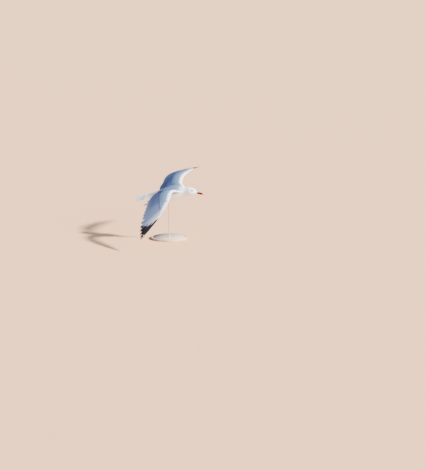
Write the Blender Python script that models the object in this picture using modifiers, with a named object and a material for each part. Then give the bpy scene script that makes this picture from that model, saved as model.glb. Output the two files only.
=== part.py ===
"""A life-size Audouin's gull gliding low with its wings bowed, held by a plain display stand.

The bird is laid out in its own frame, in metres: +X towards the bill, +Y to its left, +Z up, with the
origin inside the breast. It is then pitched, banked and lifted onto the rod of the stand. The origin of
the whole model is the centre of the underside of the stand's base, and the bird faces +X.
"""

import math

import bmesh
import bpy
import numpy as np
from mathutils import Matrix, Vector

# Attitude of the bird on its stand.
PITCH = math.radians(8.5)  # bill end up
BANK = math.radians(17.5)  # left wing up, right wing down
BIRD_HEIGHT = 0.318  # of the bird's origin over the floor
ROD_STATION = -0.045  # where the rod meets the body, along the bird's own X

# Driving lengths of the bird.
BILL_BASE_X = 0.156
NECK_FRONT_X = 0.092
NECK_BACK_X = 0.050
TAIL_ROOT_X = -0.160
TAIL_TIP_X = -0.287
WING_START = 0.012  # hidden inside the breast
WRIST = 0.196  # spanwise distances, measured along the wing from the midline
BLACK_START = 0.400
WING_END = 0.568
WING_SWING = 0.018  # how far the right wrist is held forward, and the left one back

# Small things.
GAP = 0.0003  # between neighbouring solids
EYE_RADIUS = 0.0066
EYE_PLACE = Vector((0.1320, 0.0128, 0.0012))  # of the left eye, before the head is turned level

# The stand.
BASE_RADIUS = 0.120
BASE_THICKNESS = 0.014
ROD_RADIUS = 0.004
ROD_DEPTH = 0.020  # how far the rod runs up into the body

# How finely the lofts are divided around.
BODY_SIDES = 28
WING_SIDES = 18
BILL_SIDES = 11
LIMB_SIDES = 12

# Stations along the body: x, top z, bottom z, half width, and how far the section leans forward at
# its top, in degrees. From the feathered base of the bill to the root of the tail.
BODY = np.array(
    [
        (0.1560, -0.0090, -0.0265, 0.0068, 11.0),
        (0.1480, -0.0010, -0.0280, 0.0108, 10.0),
        (0.1390, 0.0078, -0.0296, 0.0156, 8.0),
        (0.1290, 0.0154, -0.0311, 0.0202, 6.0),
        (0.1180, 0.0210, -0.0323, 0.0238, 4.0),
        (0.1060, 0.0238, -0.0333, 0.0256, 2.0),
        (0.0930, 0.0247, -0.0346, 0.0263, 0.0),
        (0.0780, 0.0264, -0.0360, 0.0282, 0.0),
        (0.0600, 0.0312, -0.0380, 0.0332, 0.0),
        (0.0400, 0.0370, -0.0412, 0.0405, 0.0),
        (0.0150, 0.0398, -0.0472, 0.0480, 0.0),
        (-0.0150, 0.0390, -0.0520, 0.0520, 0.0),
        (-0.0450, 0.0360, -0.0510, 0.0510, 0.0),
        (-0.0750, 0.0310, -0.0460, 0.0455, 0.0),
        (-0.1050, 0.0240, -0.0385, 0.0370, 0.0),
        (-0.1350, 0.0158, -0.0338, 0.0296, 0.0),
        (-0.1600, 0.0090, -0.0285, 0.0262, 0.0),
    ]
)

# Stations along the tail: x, middle z, half width, half thickness.
TAIL = np.array(
    [
        (-0.1600, -0.0097, 0.0262, 0.0182),
        (-0.1850, -0.0115, 0.0322, 0.0124),
        (-0.2150, -0.0133, 0.0404, 0.0074),
        (-0.2500, -0.0160, 0.0486, 0.0030),
        (-0.2740, -0.0178, 0.0532, 0.0010),
        (-0.2830, -0.0184, 0.0524, 0.0007),
        (-0.2870, -0.0187, 0.0470, 0.0006),
    ]
)

# Wing outline, laid flat: distance along the span, front edge x, rear edge x.
WING_OUTLINE = np.array(
    [
        (0.012, 0.043, -0.121),
        (0.052, 0.039, -0.131),
        (0.104, 0.035, -0.122),
        (0.150, 0.037, -0.123),
        (0.196, 0.042, -0.124),
        (0.257, 0.038, -0.122),
        (0.309, 0.031, -0.119),
        (0.372, 0.018, -0.110),
        (0.414, 0.006, -0.101),
        (0.467, -0.011, -0.087),
        (0.519, -0.029, -0.069),
        (0.550, -0.040, -0.0575),
        (0.568, -0.047, -0.0520),
    ]
)

# Along the span: slope of the wing in degrees, incidence in degrees, thickness and camber in metres.
WING_SHAPE = np.array(
    [
        (0.012, 20.0, 5.0, 0.0170, 0.0090),
        (0.060, 20.0, 5.5, 0.0146, 0.0100),
        (0.105, 10.0, 5.5, 0.0122, 0.0105),
        (0.150, 0.0, 5.0, 0.0106, 0.0100),
        (0.196, -9.0, 4.0, 0.0090, 0.0085),
        (0.250, -15.5, 2.5, 0.0063, 0.0060),
        (0.330, -18.0, 1.0, 0.0036, 0.0040),
        (0.420, -19.5, 0.0, 0.0023, 0.0024),
        (0.500, -20.5, -1.0, 0.0016, 0.0012),
        (0.568, -20.5, -1.0, 0.0010, 0.0003),
    ]
)
WING_ROOT_Z = 0.0130
REAR_EDGE_THICKNESS = 0.0010
SWING_FROM = 0.080  # where along the span the swing of the wrists begins and ends
SWING_TO = 0.560

# Stations along the bill, as a share of its length: ridge z, cutting edge z, keel z, half width,
# counted from the middle of the bill's base and along the bill's own axis.
BILL_LENGTH = 0.0480
BILL_DROP = math.radians(14)  # how far the bill points below the bird's own X
LOWER_BILL_WIDTH = 0.88  # of the upper half's
BILL = np.array(
    [
        (0.00, 0.0080, -0.0008, -0.0076, 0.0062),
        (0.18, 0.0079, -0.0010, -0.0073, 0.0054),
        (0.40, 0.0073, -0.0014, -0.0072, 0.0047),
        (0.58, 0.0066, -0.0019, -0.0078, 0.0043),
        (0.70, 0.0060, -0.0024, -0.0078, 0.0039),
        (0.82, 0.0046, -0.0031, -0.0068, 0.0032),
        (0.92, 0.0022, -0.0044, -0.0056, 0.0022),
        (1.00, -0.0038, -0.0078, -0.0050, 0.0008),
    ]
)

# Joints of the left leg, which trails under the tail, and the sections of its three lengths: share of
# the way along, half width and half depth.
THIGH_TOP = Vector((-0.078, 0.020, -0.026))
HEEL = Vector((-0.135, 0.021, -0.0385))
TOE_ROOT = Vector((-0.189, 0.023, -0.0465))
TOE_TIP = Vector((-0.239, 0.025, -0.0640))
THIGH = (
    (0.00, 0.0150, 0.0170),
    (0.35, 0.0128, 0.0140),
    (0.70, 0.0078, 0.0088),
    (0.99, 0.0036, 0.0040),
)
SHANK = (
    (0.00, 0.0029, 0.0034),
    (0.12, 0.0023, 0.0026),
    (0.50, 0.0020, 0.0023),
    (0.90, 0.0023, 0.0025),
    (1.00, 0.0026, 0.0025),
)
FOOT = (
    (0.01, 0.0030, 0.0030),
    (0.25, 0.0054, 0.0038),
    (0.55, 0.0076, 0.0040),
    (0.82, 0.0086, 0.0034),
    (1.00, 0.0072, 0.0020),
)

# Where the tips of the long primaries end along the span, from the fourth to the tenth, and how far
# each one bulges out of the rear edge before the notch at the next.
PRIMARY_TIPS = (0.385, 0.425, 0.462, 0.495, 0.524, 0.548, WING_END)
PRIMARY_BULGE = 0.0042


# ---------------------------------------------------------------- helpers


def collection_named(name):
    made = bpy.data.collections.new(name)
    bpy.context.scene.collection.children.link(made)
    return made


def material_named(name, colour, roughness, metallic=0.0):
    made = bpy.data.materials.new(name)
    made.use_nodes = True
    shader = made.node_tree.nodes["Principled BSDF"]
    shader.inputs["Base Color"].default_value = (*colour, 1.0)
    shader.inputs["Roughness"].default_value = roughness
    shader.inputs["Metallic"].default_value = metallic
    return made


def curve_at(table, column, at):
    """A smooth curve through one column of a table, read at the places `at` of its first column.

    Each stretch is a cubic whose end slopes are the mean slopes of its neighbours."""
    x, y = table[:, 0], table[:, column]
    if x[0] > x[-1]:
        x, y = x[::-1], y[::-1]
    slope = np.gradient(y, x)
    at = np.clip(np.asarray(at, float), x[0], x[-1])
    i = np.clip(np.searchsorted(x, at, side="right") - 1, 0, len(x) - 2)
    step = x[i + 1] - x[i]
    t = (at - x[i]) / step
    return (
        (2 * t**3 - 3 * t**2 + 1) * y[i]
        + (t**3 - 2 * t**2 + t) * step * slope[i]
        + (3 * t**2 - 2 * t**3) * y[i + 1]
        + (t**3 - t**2) * step * slope[i + 1]
    )


def object_of(name, bm, finish, where):
    """A mesh object from bm, its faces turned outwards and shaded smooth up to 40 degrees."""
    bmesh.ops.recalc_face_normals(bm, faces=bm.faces)
    mesh = bpy.data.meshes.new(name)
    bm.to_mesh(mesh)
    bm.free()
    mesh.materials.append(finish)
    mesh.shade_smooth()
    mesh.set_sharp_from_angle(angle=math.radians(40))
    made = bpy.data.objects.new(name, mesh)
    where.objects.link(made)
    return made


def loft(name, rings, finish, where):
    """A closed solid through a row of rings, each an array of points, with its two ends filled."""
    bm = bmesh.new()
    rows = [[bm.verts.new(point) for point in ring] for ring in rings]
    count = len(rows[0])
    for near, far in zip(rows, rows[1:]):
        for k in range(count):
            following = (k + 1) % count
            bm.faces.new((near[k], near[following], far[following], far[k]))
    bm.faces.new(rows[0])
    bm.faces.new(rows[-1])
    return object_of(name, bm, finish, where)


def cut(target, cutter):
    """Takes the cutter out of the target, which keeps the result as its own mesh."""
    difference = target.modifiers.new("cut", "BOOLEAN")
    difference.operation = "DIFFERENCE"
    difference.solver = "EXACT"
    difference.object = cutter


def as_cutter(made):
    made.hide_render = True
    made.display_type = "WIRE"
    return made


def swollen(source, name, by):
    """A copy of a solid, grown by `by` along its normals, for cutting what meets it."""
    made = bpy.data.objects.new(name, source.data.copy())
    cutters.objects.link(made)
    bm = bmesh.new()
    bm.from_mesh(made.data)
    bm.normal_update()
    moves = [vertex.normal * by for vertex in bm.verts]
    for vertex, move in zip(bm.verts, moves):
        vertex.co += move
    bm.to_mesh(made.data)
    bm.free()
    return as_cutter(made)


# ---------------------------------------------------------------- body


def middle_of(x):
    """The height of the body's middle line at a station, a little below half way up."""
    return 0.45 * float(curve_at(BODY, 1, x)) + 0.55 * float(curve_at(BODY, 2, x))


def head_turn(x):
    """The neck twists against the bank, so that the head is held level."""
    share = min(max((x - NECK_BACK_X) / (NECK_FRONT_X - NECK_BACK_X), 0.0), 1.0)
    return -BANK * share * share * (3 - 2 * share)


def turned(points, x):
    """Points of the head or neck, turned level about the body's middle line."""
    middle = middle_of(x)
    turn = head_turn(x)
    side, rise = points[:, 1], points[:, 2] - middle
    level = points.copy()
    level[:, 1] = side * math.cos(turn) - rise * math.sin(turn)
    level[:, 2] = middle + side * math.sin(turn) + rise * math.cos(turn)
    return level


def squared(wave, power):
    """A sine or cosine pushed towards its ends, which squares the oval drawn with it."""
    return np.sign(wave) * np.abs(wave) ** power


def body_ring(x):
    """An egg-shaped section of the body: each quarter is a part of an ellipse, a little squared."""
    top, bottom, half, lean = (float(curve_at(BODY, c, x)) for c in (1, 2, 3, 4))
    middle = middle_of(x)
    angle = np.arange(BODY_SIDES) * 2 * np.pi / BODY_SIDES
    across, up = squared(np.cos(angle), 0.92), squared(np.sin(angle), 0.92)
    rise = up * np.where(up > 0, top - middle, middle - bottom)
    tilt = math.radians(lean)
    ring = [x + rise * math.sin(tilt), half * across, middle + rise * math.cos(tilt)]
    return turned(np.stack(ring, axis=1), x)


def body_part(name, front, back, sections):
    stations = np.linspace(front, back, sections)
    return loft(name, [body_ring(x) for x in stations], white_feather, bird)


def tail_ring(x):
    """A flat oval section of the fanned tail."""
    middle, half, thick = (float(curve_at(TAIL, c, x)) for c in (1, 2, 3))
    angle = np.arange(BODY_SIDES) * 2 * np.pi / BODY_SIDES
    across = squared(np.cos(angle), 0.8)
    sag = 0.10 * half * across**2  # the fan's edges hang a little
    ring = [np.full(BODY_SIDES, x), half * across, middle - sag + thick * np.sin(angle)]
    return np.stack(ring, axis=1)


def build_tail():
    """The tail, with its sections closer together towards its rounded end."""
    plain = np.linspace(TAIL_ROOT_X - GAP, TAIL_TIP_X + 0.010, 9)
    end = TAIL_TIP_X + np.array([0.006, 0.003, 0.001, 0.0])
    loft("tail", [tail_ring(x) for x in (*plain, *end)], white_feather, bird)


# ---------------------------------------------------------------- wings


def span_line():
    """The line that the wing's front follows: how far out and how high it is, for each step along it."""
    along = np.linspace(0.0, WING_END, 225)
    slope = np.radians(curve_at(WING_SHAPE, 1, along))
    step = along[1] - along[0]
    out = np.concatenate([[0.0], np.cumsum(np.cos(slope[1:]) * step)])
    up = WING_ROOT_Z + np.concatenate([[0.0], np.cumsum(np.sin(slope[1:]) * step)])
    return along, out, up


def primary_bulge(along):
    """How far the vane of the primary that ends next stands out behind the smooth rear edge."""
    for inner, outer in zip(PRIMARY_TIPS, PRIMARY_TIPS[1:]):
        if inner < along < outer:
            share = (along - inner) / (outer - inner)
            return PRIMARY_BULGE * math.sin(math.pi * share**1.3) ** 0.7
    return 0.0


def wing_ring(along, side):
    """A wing section: a cambered blade with a round front, thin at the rear, turned by its incidence."""
    front, rear = (float(curve_at(WING_OUTLINE, c, along)) for c in (1, 2))
    rear -= primary_bulge(along)
    inboard_share = (along - SWING_FROM) / (SWING_TO - SWING_FROM)
    swing = -side * WING_SWING * math.sin(math.pi * min(max(inboard_share, 0.0), 1.0))
    slope, incidence, thickness, camber = (
        float(curve_at(WING_SHAPE, c, along)) for c in (1, 2, 3, 4)
    )
    chord = front - rear
    share = (1 - np.cos(np.linspace(0, np.pi, WING_SIDES // 2 + 1))) / 2  # 0 in front, 1 at the rear
    swell = np.sqrt(share) * (1 - share) ** 1.6  # greatest about a quarter of the way back
    half_blade = thickness / 2 * swell / 0.316 + REAR_EDGE_THICKNESS / 2 * np.minimum(1, share * 12)
    bend = 4 * camber * share * (1 - share)
    upper = np.stack([-chord * share, bend + half_blade], axis=1)
    lower = np.stack([-chord * share, bend - half_blade], axis=1)[1:][::-1]
    section = np.concatenate([upper, lower])
    tilt = math.radians(incidence)
    back = section[:, 0] * math.cos(tilt) - section[:, 1] * math.sin(tilt)
    rise = section[:, 0] * math.sin(tilt) + section[:, 1] * math.cos(tilt)
    lean = math.radians(slope)
    steps, outs, ups = SPAN_LINE
    out = np.interp(along, steps, outs) - rise * math.sin(lean)
    up = np.interp(along, steps, ups) + rise * math.cos(lean)
    return np.stack([front + swing + back, side * out, up], axis=1)


def build_wing(side, word, trunk_cutter):
    """The arm with its secondaries, the hand, and the black end of the primaries, as three solids."""
    inner = [wing_ring(s, side) for s in np.linspace(WING_START, WRIST, 13)]
    cut(loft(f"wing_inner_{word}", inner, grey_feather, bird), trunk_cutter)
    outer = [wing_ring(s, side) for s in np.linspace(WRIST + GAP, BLACK_START, 12)]
    loft(f"wing_outer_{word}", outer, grey_feather, bird)
    stations = [BLACK_START + GAP]
    for near, far in zip(PRIMARY_TIPS, PRIMARY_TIPS[1:]):
        stations += [s for s in np.linspace(near, far, 5)[1:] if s > stations[0] + 0.002]
    tip = [wing_ring(s, side) for s in stations]
    loft(f"wing_tip_{word}", tip, black_feather, bird)


# ---------------------------------------------------------------- head


def bill_frame():
    """The place of the bill: at the middle of the face, level across, and pointing a little down."""
    base = Vector((BILL_BASE_X, 0, middle_of(BILL_BASE_X)))
    level = Matrix.Rotation(head_turn(BILL_BASE_X), 4, "X")
    return Matrix.Translation(base) @ level @ Matrix.Rotation(BILL_DROP, 4, "Y")


def bill_ring(share, half_sign):
    """Half an oval, flat along the cutting edges: over them for +1, and under them for -1."""
    ridge, edge, keel, half = (float(curve_at(BILL, c, share)) for c in (1, 2, 3, 4))
    reach, wide = (ridge - edge, half) if half_sign > 0 else (edge - keel, half * LOWER_BILL_WIDTH)
    angle = np.linspace(0, np.pi, BILL_SIDES)
    across = wide * np.cos(angle)
    lift = reach * np.sin(angle) ** 0.85
    inside = np.linspace(across[-1], across[0], 5)[1:-1]
    y = np.concatenate([across, inside])
    z = edge + half_sign * (GAP / 2 + np.concatenate([lift, 0 * inside]))
    place = bill_frame()
    return [place @ Vector((share * BILL_LENGTH, side, up)) for side, up in zip(y, z)]


def build_bill():
    """The two halves of the bill. The upper one ends in a hook that reaches past the lower."""
    lower = np.linspace(0.020, 0.9, 9)
    upper = np.concatenate([lower, [0.95, 0.985, 1.0]])
    loft("bill_upper", [bill_ring(share, 1) for share in upper], red_bill, bird)
    loft("bill_lower", [bill_ring(share, -1) for share in lower], red_bill, bird)


def build_eyes(head):
    """Each eye is a ball in a socket of its own shape."""
    for side, word in ((1, "left"), (-1, "right")):
        place = Vector(turned(np.array([on_side(EYE_PLACE, side)]), EYE_PLACE.x)[0])
        for name, radius in ((f"eye_{word}", EYE_RADIUS), (f"socket_{word}", EYE_RADIUS + GAP)):
            bm = bmesh.new()
            bmesh.ops.create_uvsphere(
                bm, u_segments=16, v_segments=10, radius=radius, matrix=Matrix.Translation(place)
            )
            if name.startswith("eye"):
                object_of(name, bm, dark_eye, bird)
            else:
                cut(head, as_cutter(object_of(name, bm, dark_eye, cutters)))


# ---------------------------------------------------------------- legs


def limb_rings(start, end, profile):
    """Ovals carried along a straight line: each row of profile is (share, half width, half depth)."""
    along = (end - start).normalized()
    across = along.cross(Vector((0, 0, 1))).normalized()
    deep = across.cross(along)
    rings = []
    for share, wide, thick in profile:
        centre = start.lerp(end, share)
        ring = []
        for k in range(LIMB_SIDES):
            turn = 2 * math.pi * k / LIMB_SIDES
            ring.append(
                centre + across * (wide * math.cos(turn)) + deep * (thick * math.sin(turn))
            )
        rings.append(ring)
    return rings


def on_side(point, side):
    return Vector((point.x, side * point.y, point.z))


def build_leg(side, word, trunk_cutter):
    """A feathered thigh, a bare tarsus stretched out behind it, and a foot with its toes together."""
    hip, heel = on_side(THIGH_TOP, side), on_side(HEEL, side)
    root, tip = on_side(TOE_ROOT, side), on_side(TOE_TIP, side)
    thigh = loft(f"thigh_{word}", limb_rings(hip, heel, THIGH), white_feather, bird)
    cut(thigh, trunk_cutter)
    loft(f"tarsus_{word}", limb_rings(heel, root, SHANK), dark_leg, bird)
    loft(f"foot_{word}", limb_rings(root, tip, FOOT), dark_leg, bird)


# ---------------------------------------------------------------- stand


def into(made, where):
    """Moves an object from whichever collection holds it into another."""
    for old in list(made.users_collection):
        old.objects.unlink(made)
    where.objects.link(made)


def build_stand(trunk):
    """A round flat base and one rod, which runs up into a hole in the belly."""
    bpy.ops.mesh.primitive_cylinder_add(
        vertices=48, radius=BASE_RADIUS, depth=BASE_THICKNESS, location=(0, 0, BASE_THICKNESS / 2)
    )
    base = bpy.context.object
    base.name = "stand_base"
    base.data.materials.append(stand_finish)
    edge = base.modifiers.new("rounded_edge", "BEVEL")
    edge.width = 0.002
    edge.segments = 1
    edge.limit_method = "ANGLE"
    foot = BASE_THICKNESS + GAP
    belly = float(curve_at(BODY, 2, ROD_STATION))
    top = BIRD_HEIGHT + belly + ROD_DEPTH
    for name, radius, low, high in (
        ("stand_rod", ROD_RADIUS, foot, top),
        ("rod_hole", ROD_RADIUS + GAP, 0.15, top + GAP),
    ):
        bpy.ops.mesh.primitive_cylinder_add(
            vertices=24, radius=radius, depth=high - low, location=(0, 0, (low + high) / 2)
        )
        made = bpy.context.object
        made.name = name
        made.data.materials.append(rod_finish)
        if name == "rod_hole":
            cut(trunk, as_cutter(made))
            into(made, cutters)
        else:
            into(made, stand)
    into(base, stand)


# ---------------------------------------------------------------- assembly

for old_object in list(bpy.data.objects):
    bpy.data.objects.remove(old_object)

bird = collection_named("gull")
stand = collection_named("stand")
cutters = collection_named("cutters")

white_feather = material_named("white_feather", (0.86, 0.87, 0.88), 0.75)
grey_feather = material_named("grey_feather", (0.50, 0.55, 0.62), 0.75)
black_feather = material_named("black_feather", (0.03, 0.03, 0.035), 0.65)
red_bill = material_named("red_bill", (0.45, 0.05, 0.03), 0.35)
dark_eye = material_named("dark_eye", (0.02, 0.012, 0.01), 0.1)
dark_leg = material_named("dark_leg", (0.08, 0.075, 0.065), 0.55)
stand_finish = material_named("stand_finish", (0.62, 0.55, 0.47), 0.5)
rod_finish = material_named("rod_finish", (0.60, 0.60, 0.60), 0.3, 1.0)

SPAN_LINE = span_line()

head_solid = body_part("head", BILL_BASE_X, NECK_FRONT_X + GAP, 13)
body_part("neck", NECK_FRONT_X, NECK_BACK_X + GAP, 6)
trunk_solid = body_part("trunk", NECK_BACK_X, TAIL_ROOT_X, 18)
around_trunk = swollen(trunk_solid, "around_trunk", GAP)
build_tail()
build_bill()
build_eyes(head_solid)
for wing_side, side_word in ((1, "left"), (-1, "right")):
    build_wing(wing_side, side_word, around_trunk)
    build_leg(wing_side, side_word, around_trunk)

# The bird is turned and lifted as one piece, so that the rod meets it over the middle of the base.
attitude = Matrix.Rotation(-PITCH, 4, "Y") @ Matrix.Rotation(BANK, 4, "X")
lift = Matrix.Translation(Vector((-ROD_STATION * math.cos(PITCH), 0, BIRD_HEIGHT)))
for piece in (*bird.objects, *cutters.objects):
    piece.matrix_world = lift @ attitude @ piece.matrix_world

build_stand(trunk_solid)
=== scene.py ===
"""A life-size Audouin's gull, gliding low with bowed wings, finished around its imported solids.

The script goes from the stand up through the bird: skin, bill, eyes, legs, tail, quills, coverts and the
small feathers of the body. The last section is the room it is shown in.
"""

import math

import bmesh
import bpy
import numpy as np
from mathutils import Matrix, Vector


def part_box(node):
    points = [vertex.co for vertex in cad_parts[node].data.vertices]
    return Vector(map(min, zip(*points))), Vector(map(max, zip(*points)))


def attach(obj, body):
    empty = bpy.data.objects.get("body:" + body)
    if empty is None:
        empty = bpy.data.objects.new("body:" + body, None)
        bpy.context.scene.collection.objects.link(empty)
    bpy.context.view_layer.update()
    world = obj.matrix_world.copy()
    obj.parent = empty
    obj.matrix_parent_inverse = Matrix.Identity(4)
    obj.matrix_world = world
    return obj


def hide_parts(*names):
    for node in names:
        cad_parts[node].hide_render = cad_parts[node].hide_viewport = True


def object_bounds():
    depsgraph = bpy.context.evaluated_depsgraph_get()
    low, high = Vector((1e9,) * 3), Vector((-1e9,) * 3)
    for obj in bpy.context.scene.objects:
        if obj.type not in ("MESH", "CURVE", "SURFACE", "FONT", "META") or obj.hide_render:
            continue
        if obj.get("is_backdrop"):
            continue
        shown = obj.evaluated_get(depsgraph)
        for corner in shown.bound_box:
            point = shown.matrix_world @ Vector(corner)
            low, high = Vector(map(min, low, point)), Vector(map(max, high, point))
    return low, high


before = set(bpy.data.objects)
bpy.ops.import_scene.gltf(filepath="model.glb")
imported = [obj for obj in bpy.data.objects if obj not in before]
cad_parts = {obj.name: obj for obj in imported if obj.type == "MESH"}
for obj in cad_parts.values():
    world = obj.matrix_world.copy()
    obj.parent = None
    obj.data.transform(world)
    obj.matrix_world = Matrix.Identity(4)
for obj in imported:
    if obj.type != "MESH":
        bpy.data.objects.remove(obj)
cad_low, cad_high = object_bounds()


# ------------------------------------------------------------------------------------ stand base
# A turned disc of pale oiled ash, flat underneath, with its upper edge rounded over and a shallow
# groove cut in from the rim. It is turned in one piece.

_, BASE_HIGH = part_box("stand_base")
BASE_RADIUS = BASE_HIGH.x
BASE_TOP = BASE_HIGH.z
BASE_EDGE = 0.004
FOOT_EDGE = 0.002
GROOVE_FROM_RIM = 0.0100
GROOVE_RADIUS = 0.0012
COLLAR_SEAT = 0.0135
TURNED_STEPS = 128


def grid_faces(rows, columns, around=False):
    """Corner numbers of the quads of a grid of points that is numbered row by row. With `around`, the
    last column is joined to the first."""
    row = np.arange(rows - 1)[:, None] * columns
    column = np.arange(columns if around else columns - 1)[None, :]
    beside = (column + 1) % columns
    corners = [row + column, row + beside, row + columns + beside, row + columns + column]
    return np.stack(corners, axis=-1).reshape(-1, 4)


def mesh_piece(name, points, faces, *finishes):
    """A smooth object from an array of points and an array of quads. Points that coincide, as at a
    pole, are merged, and the faces are turned outwards."""
    mesh = bpy.data.meshes.new(name)
    mesh.from_pydata(points.reshape(-1, 3), [], faces)
    shell = bmesh.new()
    shell.from_mesh(mesh)
    bmesh.ops.remove_doubles(shell, verts=shell.verts, dist=1e-6)
    bmesh.ops.recalc_face_normals(shell, faces=shell.faces)
    shell.to_mesh(mesh)
    shell.free()
    mesh.shade_smooth()
    for finish in finishes:
        mesh.materials.append(finish)
    piece = bpy.data.objects.new(name, mesh)
    bpy.context.scene.collection.objects.link(piece)
    return piece


def full_turn(steps):
    """Even steps once round, without the last, which is the first again."""
    return np.linspace(0, 2 * np.pi, steps, endpoint=False)


def turned(name, profile, finish):
    """Each point (radius, height) of the profile is carried once round the Z axis."""
    turn = full_turn(TURNED_STEPS)
    radius, height = np.asarray(profile, float).T
    ring = np.stack([np.cos(turn), np.sin(turn)], axis=-1)
    points = np.empty((len(radius), TURNED_STEPS, 3))
    points[..., :2] = radius[:, None, None] * ring[None]
    points[..., 2] = height[:, None]
    return mesh_piece(name, points, grid_faces(len(radius), TURNED_STEPS, True), finish)


def arc_points(centre, radius, start, stop, steps=7):
    """Points of an arc about centre (radius, height), between two angles in degrees."""
    angle = np.radians(np.linspace(start, stop, steps))
    return [(centre[0] + radius * math.cos(a), centre[1] + radius * math.sin(a)) for a in angle]


def new_material(name, roughness, colour=(0.8, 0.8, 0.8)):
    """A material, its nodes, its links and its Principled shader."""
    material = bpy.data.materials.new(name)
    material.use_nodes = True
    tree = material.node_tree
    shader = tree.nodes["Principled BSDF"]
    shader.inputs["Roughness"].default_value = roughness
    shader.inputs["Base Color"].default_value = (*colour, 1)
    return material, tree, shader


def node(tree, kind, **values):
    """A node of one kind. Names that start with a capital are sockets, and others its own settings."""
    made = tree.nodes.new(kind)
    for key, value in values.items():
        if key[0].isupper():
            made.inputs[key.replace("_", " ")].default_value = value
        else:
            setattr(made, key, value)
    return made


def math_node(tree, operation, first, second=0.0, third=0.0):
    """One step of arithmetic between sockets or numbers."""
    made = node(tree, "ShaderNodeMath", operation=operation)
    for place, value in enumerate((first, second, third)):
        if isinstance(value, (int, float)):
            made.inputs[place].default_value = value
        else:
            tree.links.new(value, made.inputs[place])
    return made.outputs[0]


def blend_node(tree, share, first, second):
    """A colour between two others."""
    made = node(tree, "ShaderNodeMix", data_type="RGBA")
    for place, value in ((0, share), (6, first), (7, second)):
        if isinstance(value, tuple):
            made.inputs[place].default_value = (*value, 1)
        elif isinstance(value, float):
            made.inputs[place].default_value = value
        else:
            tree.links.new(value, made.inputs[place])
    return made.outputs[2]


def bump_node(tree, shader, height, distance, strength=1.0):
    """Relief on a shader, `distance` metres deep."""
    bump = node(tree, "ShaderNodeBump", Distance=distance, Strength=strength)
    tree.links.new(height, bump.inputs["Height"])
    tree.links.new(bump.outputs[0], shader.inputs["Normal"])


def texture_node(tree, kind, stretch=None, **values):
    """A texture on the object's own coordinates, which may be stretched by three factors first."""
    where = node(tree, "ShaderNodeTexCoord").outputs["Object"]
    if stretch:
        mapping = node(tree, "ShaderNodeMapping", Scale=stretch)
        tree.links.new(where, mapping.inputs["Vector"])
        where = mapping.outputs[0]
    texture = node(tree, kind, **values)
    tree.links.new(where, texture.inputs["Vector"])
    return texture


WOOD_STRETCH = (3.0, 22.0, 22.0)


def ash_wood():
    """Pale wood: long growth bands along X, bent a little by noise, with fine darker pores."""
    material, tree, shader = new_material("oiled_ash", 0.42)
    bands = texture_node(
        tree, "ShaderNodeTexWave", WOOD_STRETCH, Scale=1.6, Distortion=5.0, Detail=3.0,
        Detail_Scale=0.6, bands_direction="Y",
    )
    pores = texture_node(
        tree, "ShaderNodeTexNoise", WOOD_STRETCH, Scale=22.0, Detail=6.0, Roughness=0.7
    )
    wood = blend_node(tree, bands.outputs["Fac"], (0.50, 0.375, 0.25), (0.62, 0.49, 0.35))
    pore = math_node(tree, "MULTIPLY", pores.outputs["Fac"], 0.35)
    tree.links.new(blend_node(tree, pore, wood, (0.36, 0.25, 0.16)), shader.inputs["Base Color"])
    bump_node(tree, shader, pores.outputs["Fac"], 0.0002, 0.35)
    return material


base_profile = [
    (0, 0),
    (BASE_RADIUS - FOOT_EDGE - 0.001, 0),
    *arc_points((BASE_RADIUS - FOOT_EDGE, FOOT_EDGE), FOOT_EDGE, -90, 0, 4),
    *arc_points((BASE_RADIUS - BASE_EDGE, BASE_TOP - BASE_EDGE), BASE_EDGE, 0, 90),
    (BASE_RADIUS - GROOVE_FROM_RIM + GROOVE_RADIUS, BASE_TOP),
    *arc_points((BASE_RADIUS - GROOVE_FROM_RIM, BASE_TOP), GROOVE_RADIUS, 0, -180),
    (BASE_RADIUS - GROOVE_FROM_RIM - GROOVE_RADIUS, BASE_TOP),
    (COLLAR_SEAT, BASE_TOP),
    (0, BASE_TOP),
]
base = turned("stand_base_disc", base_profile, ash_wood())
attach(base, "root")
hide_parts("stand_base")


# ------------------------------------------------------------------------------------- stand rod
# A straight steel rod, 8 mm thick, that screws into the base through a small turned collar and ends
# blind in the belly. Drawn steel, brushed along its length.

ROD_LOW, ROD_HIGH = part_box("stand_rod")
ROD_RADIUS = (ROD_HIGH.x - ROD_LOW.x) / 2
COLLAR_RADIUS = 0.0105
COLLAR_HEIGHT = 0.0065


def brushed_steel():
    """Bright metal with fine streaks along Z in its roughness and relief."""
    material, tree, shader = new_material("brushed_steel", 0.3, (0.62, 0.62, 0.61))
    shader.inputs["Metallic"].default_value = 1.0
    streaks = texture_node(tree, "ShaderNodeTexNoise", (900.0, 900.0, 12.0), Scale=1.0, Detail=3.0)
    rough = math_node(tree, "MULTIPLY_ADD", streaks.outputs["Fac"], 0.25, 0.2)
    tree.links.new(rough, shader.inputs["Roughness"])
    bump_node(tree, shader, streaks.outputs["Fac"], 0.00005, 0.5)
    return material


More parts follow.
